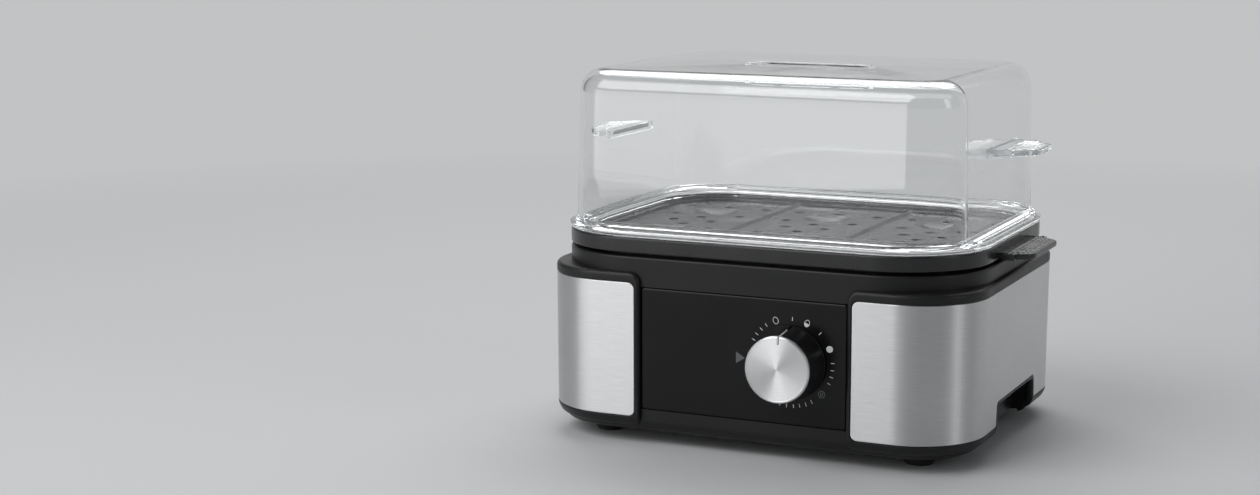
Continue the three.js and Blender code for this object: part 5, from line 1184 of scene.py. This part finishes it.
def printed_patch(outline):
    """A thin closed patch of ink inside an outline."""
    count = len(outline)
    layers = [ink_layer(outline, rise) for rise in (-PRINT_RISE, PRINT_RISE)]
    faces = grid_faces(2, count, False, True).tolist()
    for layer in (0, 1):
        start, hub = layer * count, 2 * count + layer
        faces += [[start + k, start + (k + 1) % count, hub] for k in range(count)]
    return np.concatenate([*layers, [layer.mean(0) for layer in layers]]), faces


def printed_ring(outer, inner):
    """A thin closed ring of ink between two outlines with the same number of points."""
    rows = ((outer, -PRINT_RISE), (outer, PRINT_RISE), (inner, PRINT_RISE), (inner, -PRINT_RISE))
    return np.stack([ink_layer(*row) for row in rows]), grid_faces(4, len(outer), True, True)


def on_scale(points, angle):
    """Points drawn upright about (0, 0), moved out to the scale's circle and turned clockwise from the
    top."""
    x, z = np.asarray(points, float).T
    return np.column_stack(about_dial(x, z + MARK_RADIUS, angle))


def oval(half_x, half_z, angle, first=0, count=36):
    """An upright ellipse on the scale, or its part from a first angle on."""
    turn = np.radians(steps(first, 360, count if first else count + 1))
    points = np.column_stack([half_x * np.cos(turn), half_z * np.sin(turn)])
    return on_scale(points if first else points[:-1], angle)


scale_print = Shape()
for angle in TICK_ANGLES:
    half, reach = TICK_HALF_WIDTH, TICK_HALF_LENGTH
    bar = on_scale([(-half, -reach), (half, -reach), (half, reach), (-half, reach)], angle)
    scale_print.add(*printed_patch(bar))
for angle in (EMPTY_EGG_ANGLE, HALF_EGG_ANGLE):
    outside, within = (oval(EGG_HALF_X - line, EGG_HALF_Z - line, angle) for line in (0, EGG_LINE))
    scale_print.add(*printed_ring(outside, within))
half_filling = oval(EGG_HALF_X - EGG_LINE, EGG_HALF_Z - EGG_LINE, HALF_EGG_ANGLE, first=180)
scale_print.add(*printed_patch(half_filling))
scale_print.add(*printed_patch(oval(1.75, 1.85, FULL_EGG_ANGLE)))
dress("scale_print", scale_print, white_ink, "pale_plastic", "base")
dim_print = Shape()
for outside, within in ((1.95, 1.6), (0.95, 0.6)):
    dim_print.add(*printed_ring(*[oval(r, r, RING_ANGLE) for r in (outside, within)]))
dress("scale_print_grey", dim_print, grey_ink, "grey_plastic", "base")

# Floor, backdrop, light and camera
FLOOR_HALF = 9.0
BACK_Y, BACK_RADIUS = 4.5, 1.8
FLOOR_COLOUR, GLOW_COLOUR, SKY_COLOUR = (0.58, 0.585, 0.59), (0.54, 0.545, 0.55), (0.92, 0.96, 1.0)
GLOW_FROM, GLOW_FULL, SKY_STRENGTH = 0.3, 1.3, 0.22
LAMP_AIM = Vector((0, 0, 0.09))
LAMPS = {
    "front_left_panel": (-127.0, 1.3, 0.27, (1.2, 0.52), 3.4),
    "key_softbox": (-125.0, 1.15, 1.15, (1.3, 0.9), 12.5),
    "overhead_softbox": (106.0, 0.98, 1.25, (1.5, 0.7), 12.0),
    "right_strip": (-6.0, 1.9, 0.7, (0.4, 1.2), 3.0),
}


def floor_sheet():
    """A level floor that curves up into a backdrop: a quarter circle between two flat stretches."""
    angle = np.radians(steps(0, 90, 13))
    y = np.concatenate([[-FLOOR_HALF], BACK_Y + BACK_RADIUS * np.sin(angle), [BACK_Y + BACK_RADIUS]])
    z = np.concatenate([[0.0], BACK_RADIUS * (1 - np.cos(angle)), [FLOOR_HALF]])
    x = np.array([[-FLOOR_HALF], [FLOOR_HALF]])
    points = np.stack([x + 0 * y, y + 0 * x, z + 0 * x], 2)
    mesh = bpy.data.meshes.new("floor")
    mesh.from_pydata(points.reshape(-1, 3).tolist(), [], grid_faces(2, len(y)).tolist())
    mesh.shade_smooth()
    return mesh


def backdrop_material():
    """Pale matt paper. Far from the object it glows for the camera, reflections and clear plastic, so
    that it stays pale there; near the object it only takes the lamps' light and the object's shadow."""
    material, tree, shader = new_material("pale backdrop", roughness=0.7, base_color=FLOOR_COLOUR)
    place = node(tree, "TexCoord")
    distance = node(tree, "VectorMath", {0: place.outputs["Object"]}, operation="LENGTH")
    far = spread(tree, distance.outputs["Value"], 0, 1, GLOW_FROM, GLOW_FULL)
    light = node(tree, "LightPath")
    seen = maths(tree, "MAXIMUM", light.outputs["Is Camera Ray"], light.outputs["Is Glossy Ray"])
    seen = maths(tree, "MAXIMUM", seen, light.outputs["Is Transmission Ray"])
    glow = node(tree, "Emission", {"Color": (*GLOW_COLOUR, 1), "Strength": 1.0})
    mix_surfaces(tree, maths(tree, "MULTIPLY", seen, far), shader, glow)
    return material


backdrop_mesh = floor_sheet()
backdrop_mesh.materials.append(backdrop_material())
backdrop = in_scene("backdrop", backdrop_mesh)

world = bpy.data.worlds.new("studio")
bpy.context.scene.world = world
world.use_nodes = True
sky = world.node_tree.nodes["Background"].inputs
sky["Color"].default_value = (*SKY_COLOUR, 1)
sky["Strength"].default_value = SKY_STRENGTH


def softbox(name, azimuth, distance, height, size, power):
    """A rectangular lamp at an azimuth round the object, facing it."""
    turn = math.radians(azimuth)
    place = Vector((distance * math.cos(turn), distance * math.sin(turn), height))
    lamp = bpy.data.lights.new(name, "AREA")
    lamp.shape = "RECTANGLE"
    lamp.size, lamp.size_y = size
    lamp.energy = power
    holder = in_scene(name, lamp)
    holder.location = place
    holder.rotation_euler = (LAMP_AIM - place).to_track_quat("-Z", "Y").to_euler()


for name, values in LAMPS.items():
    softbox(name, *values)

lens = bpy.data.cameras.new("camera")
lens.lens = CAMERA_LENS
lens.sensor_width = CAMERA_SENSOR
lens.sensor_fit = "HORIZONTAL"
lens.shift_y = CAMERA_SHIFT_Y
camera = in_scene("camera", lens)
camera.location = (CAMERA_X * MM, (CAMERA_Y + MIDDLE_Y) * MM, CAMERA_Z * MM)
camera.rotation_euler = (math.radians(90 + CAMERA_PITCH), 0, math.radians(CAMERA_YAW))
bpy.context.scene.camera = camera
bpy.context.scene.view_settings.view_transform = "Standard"
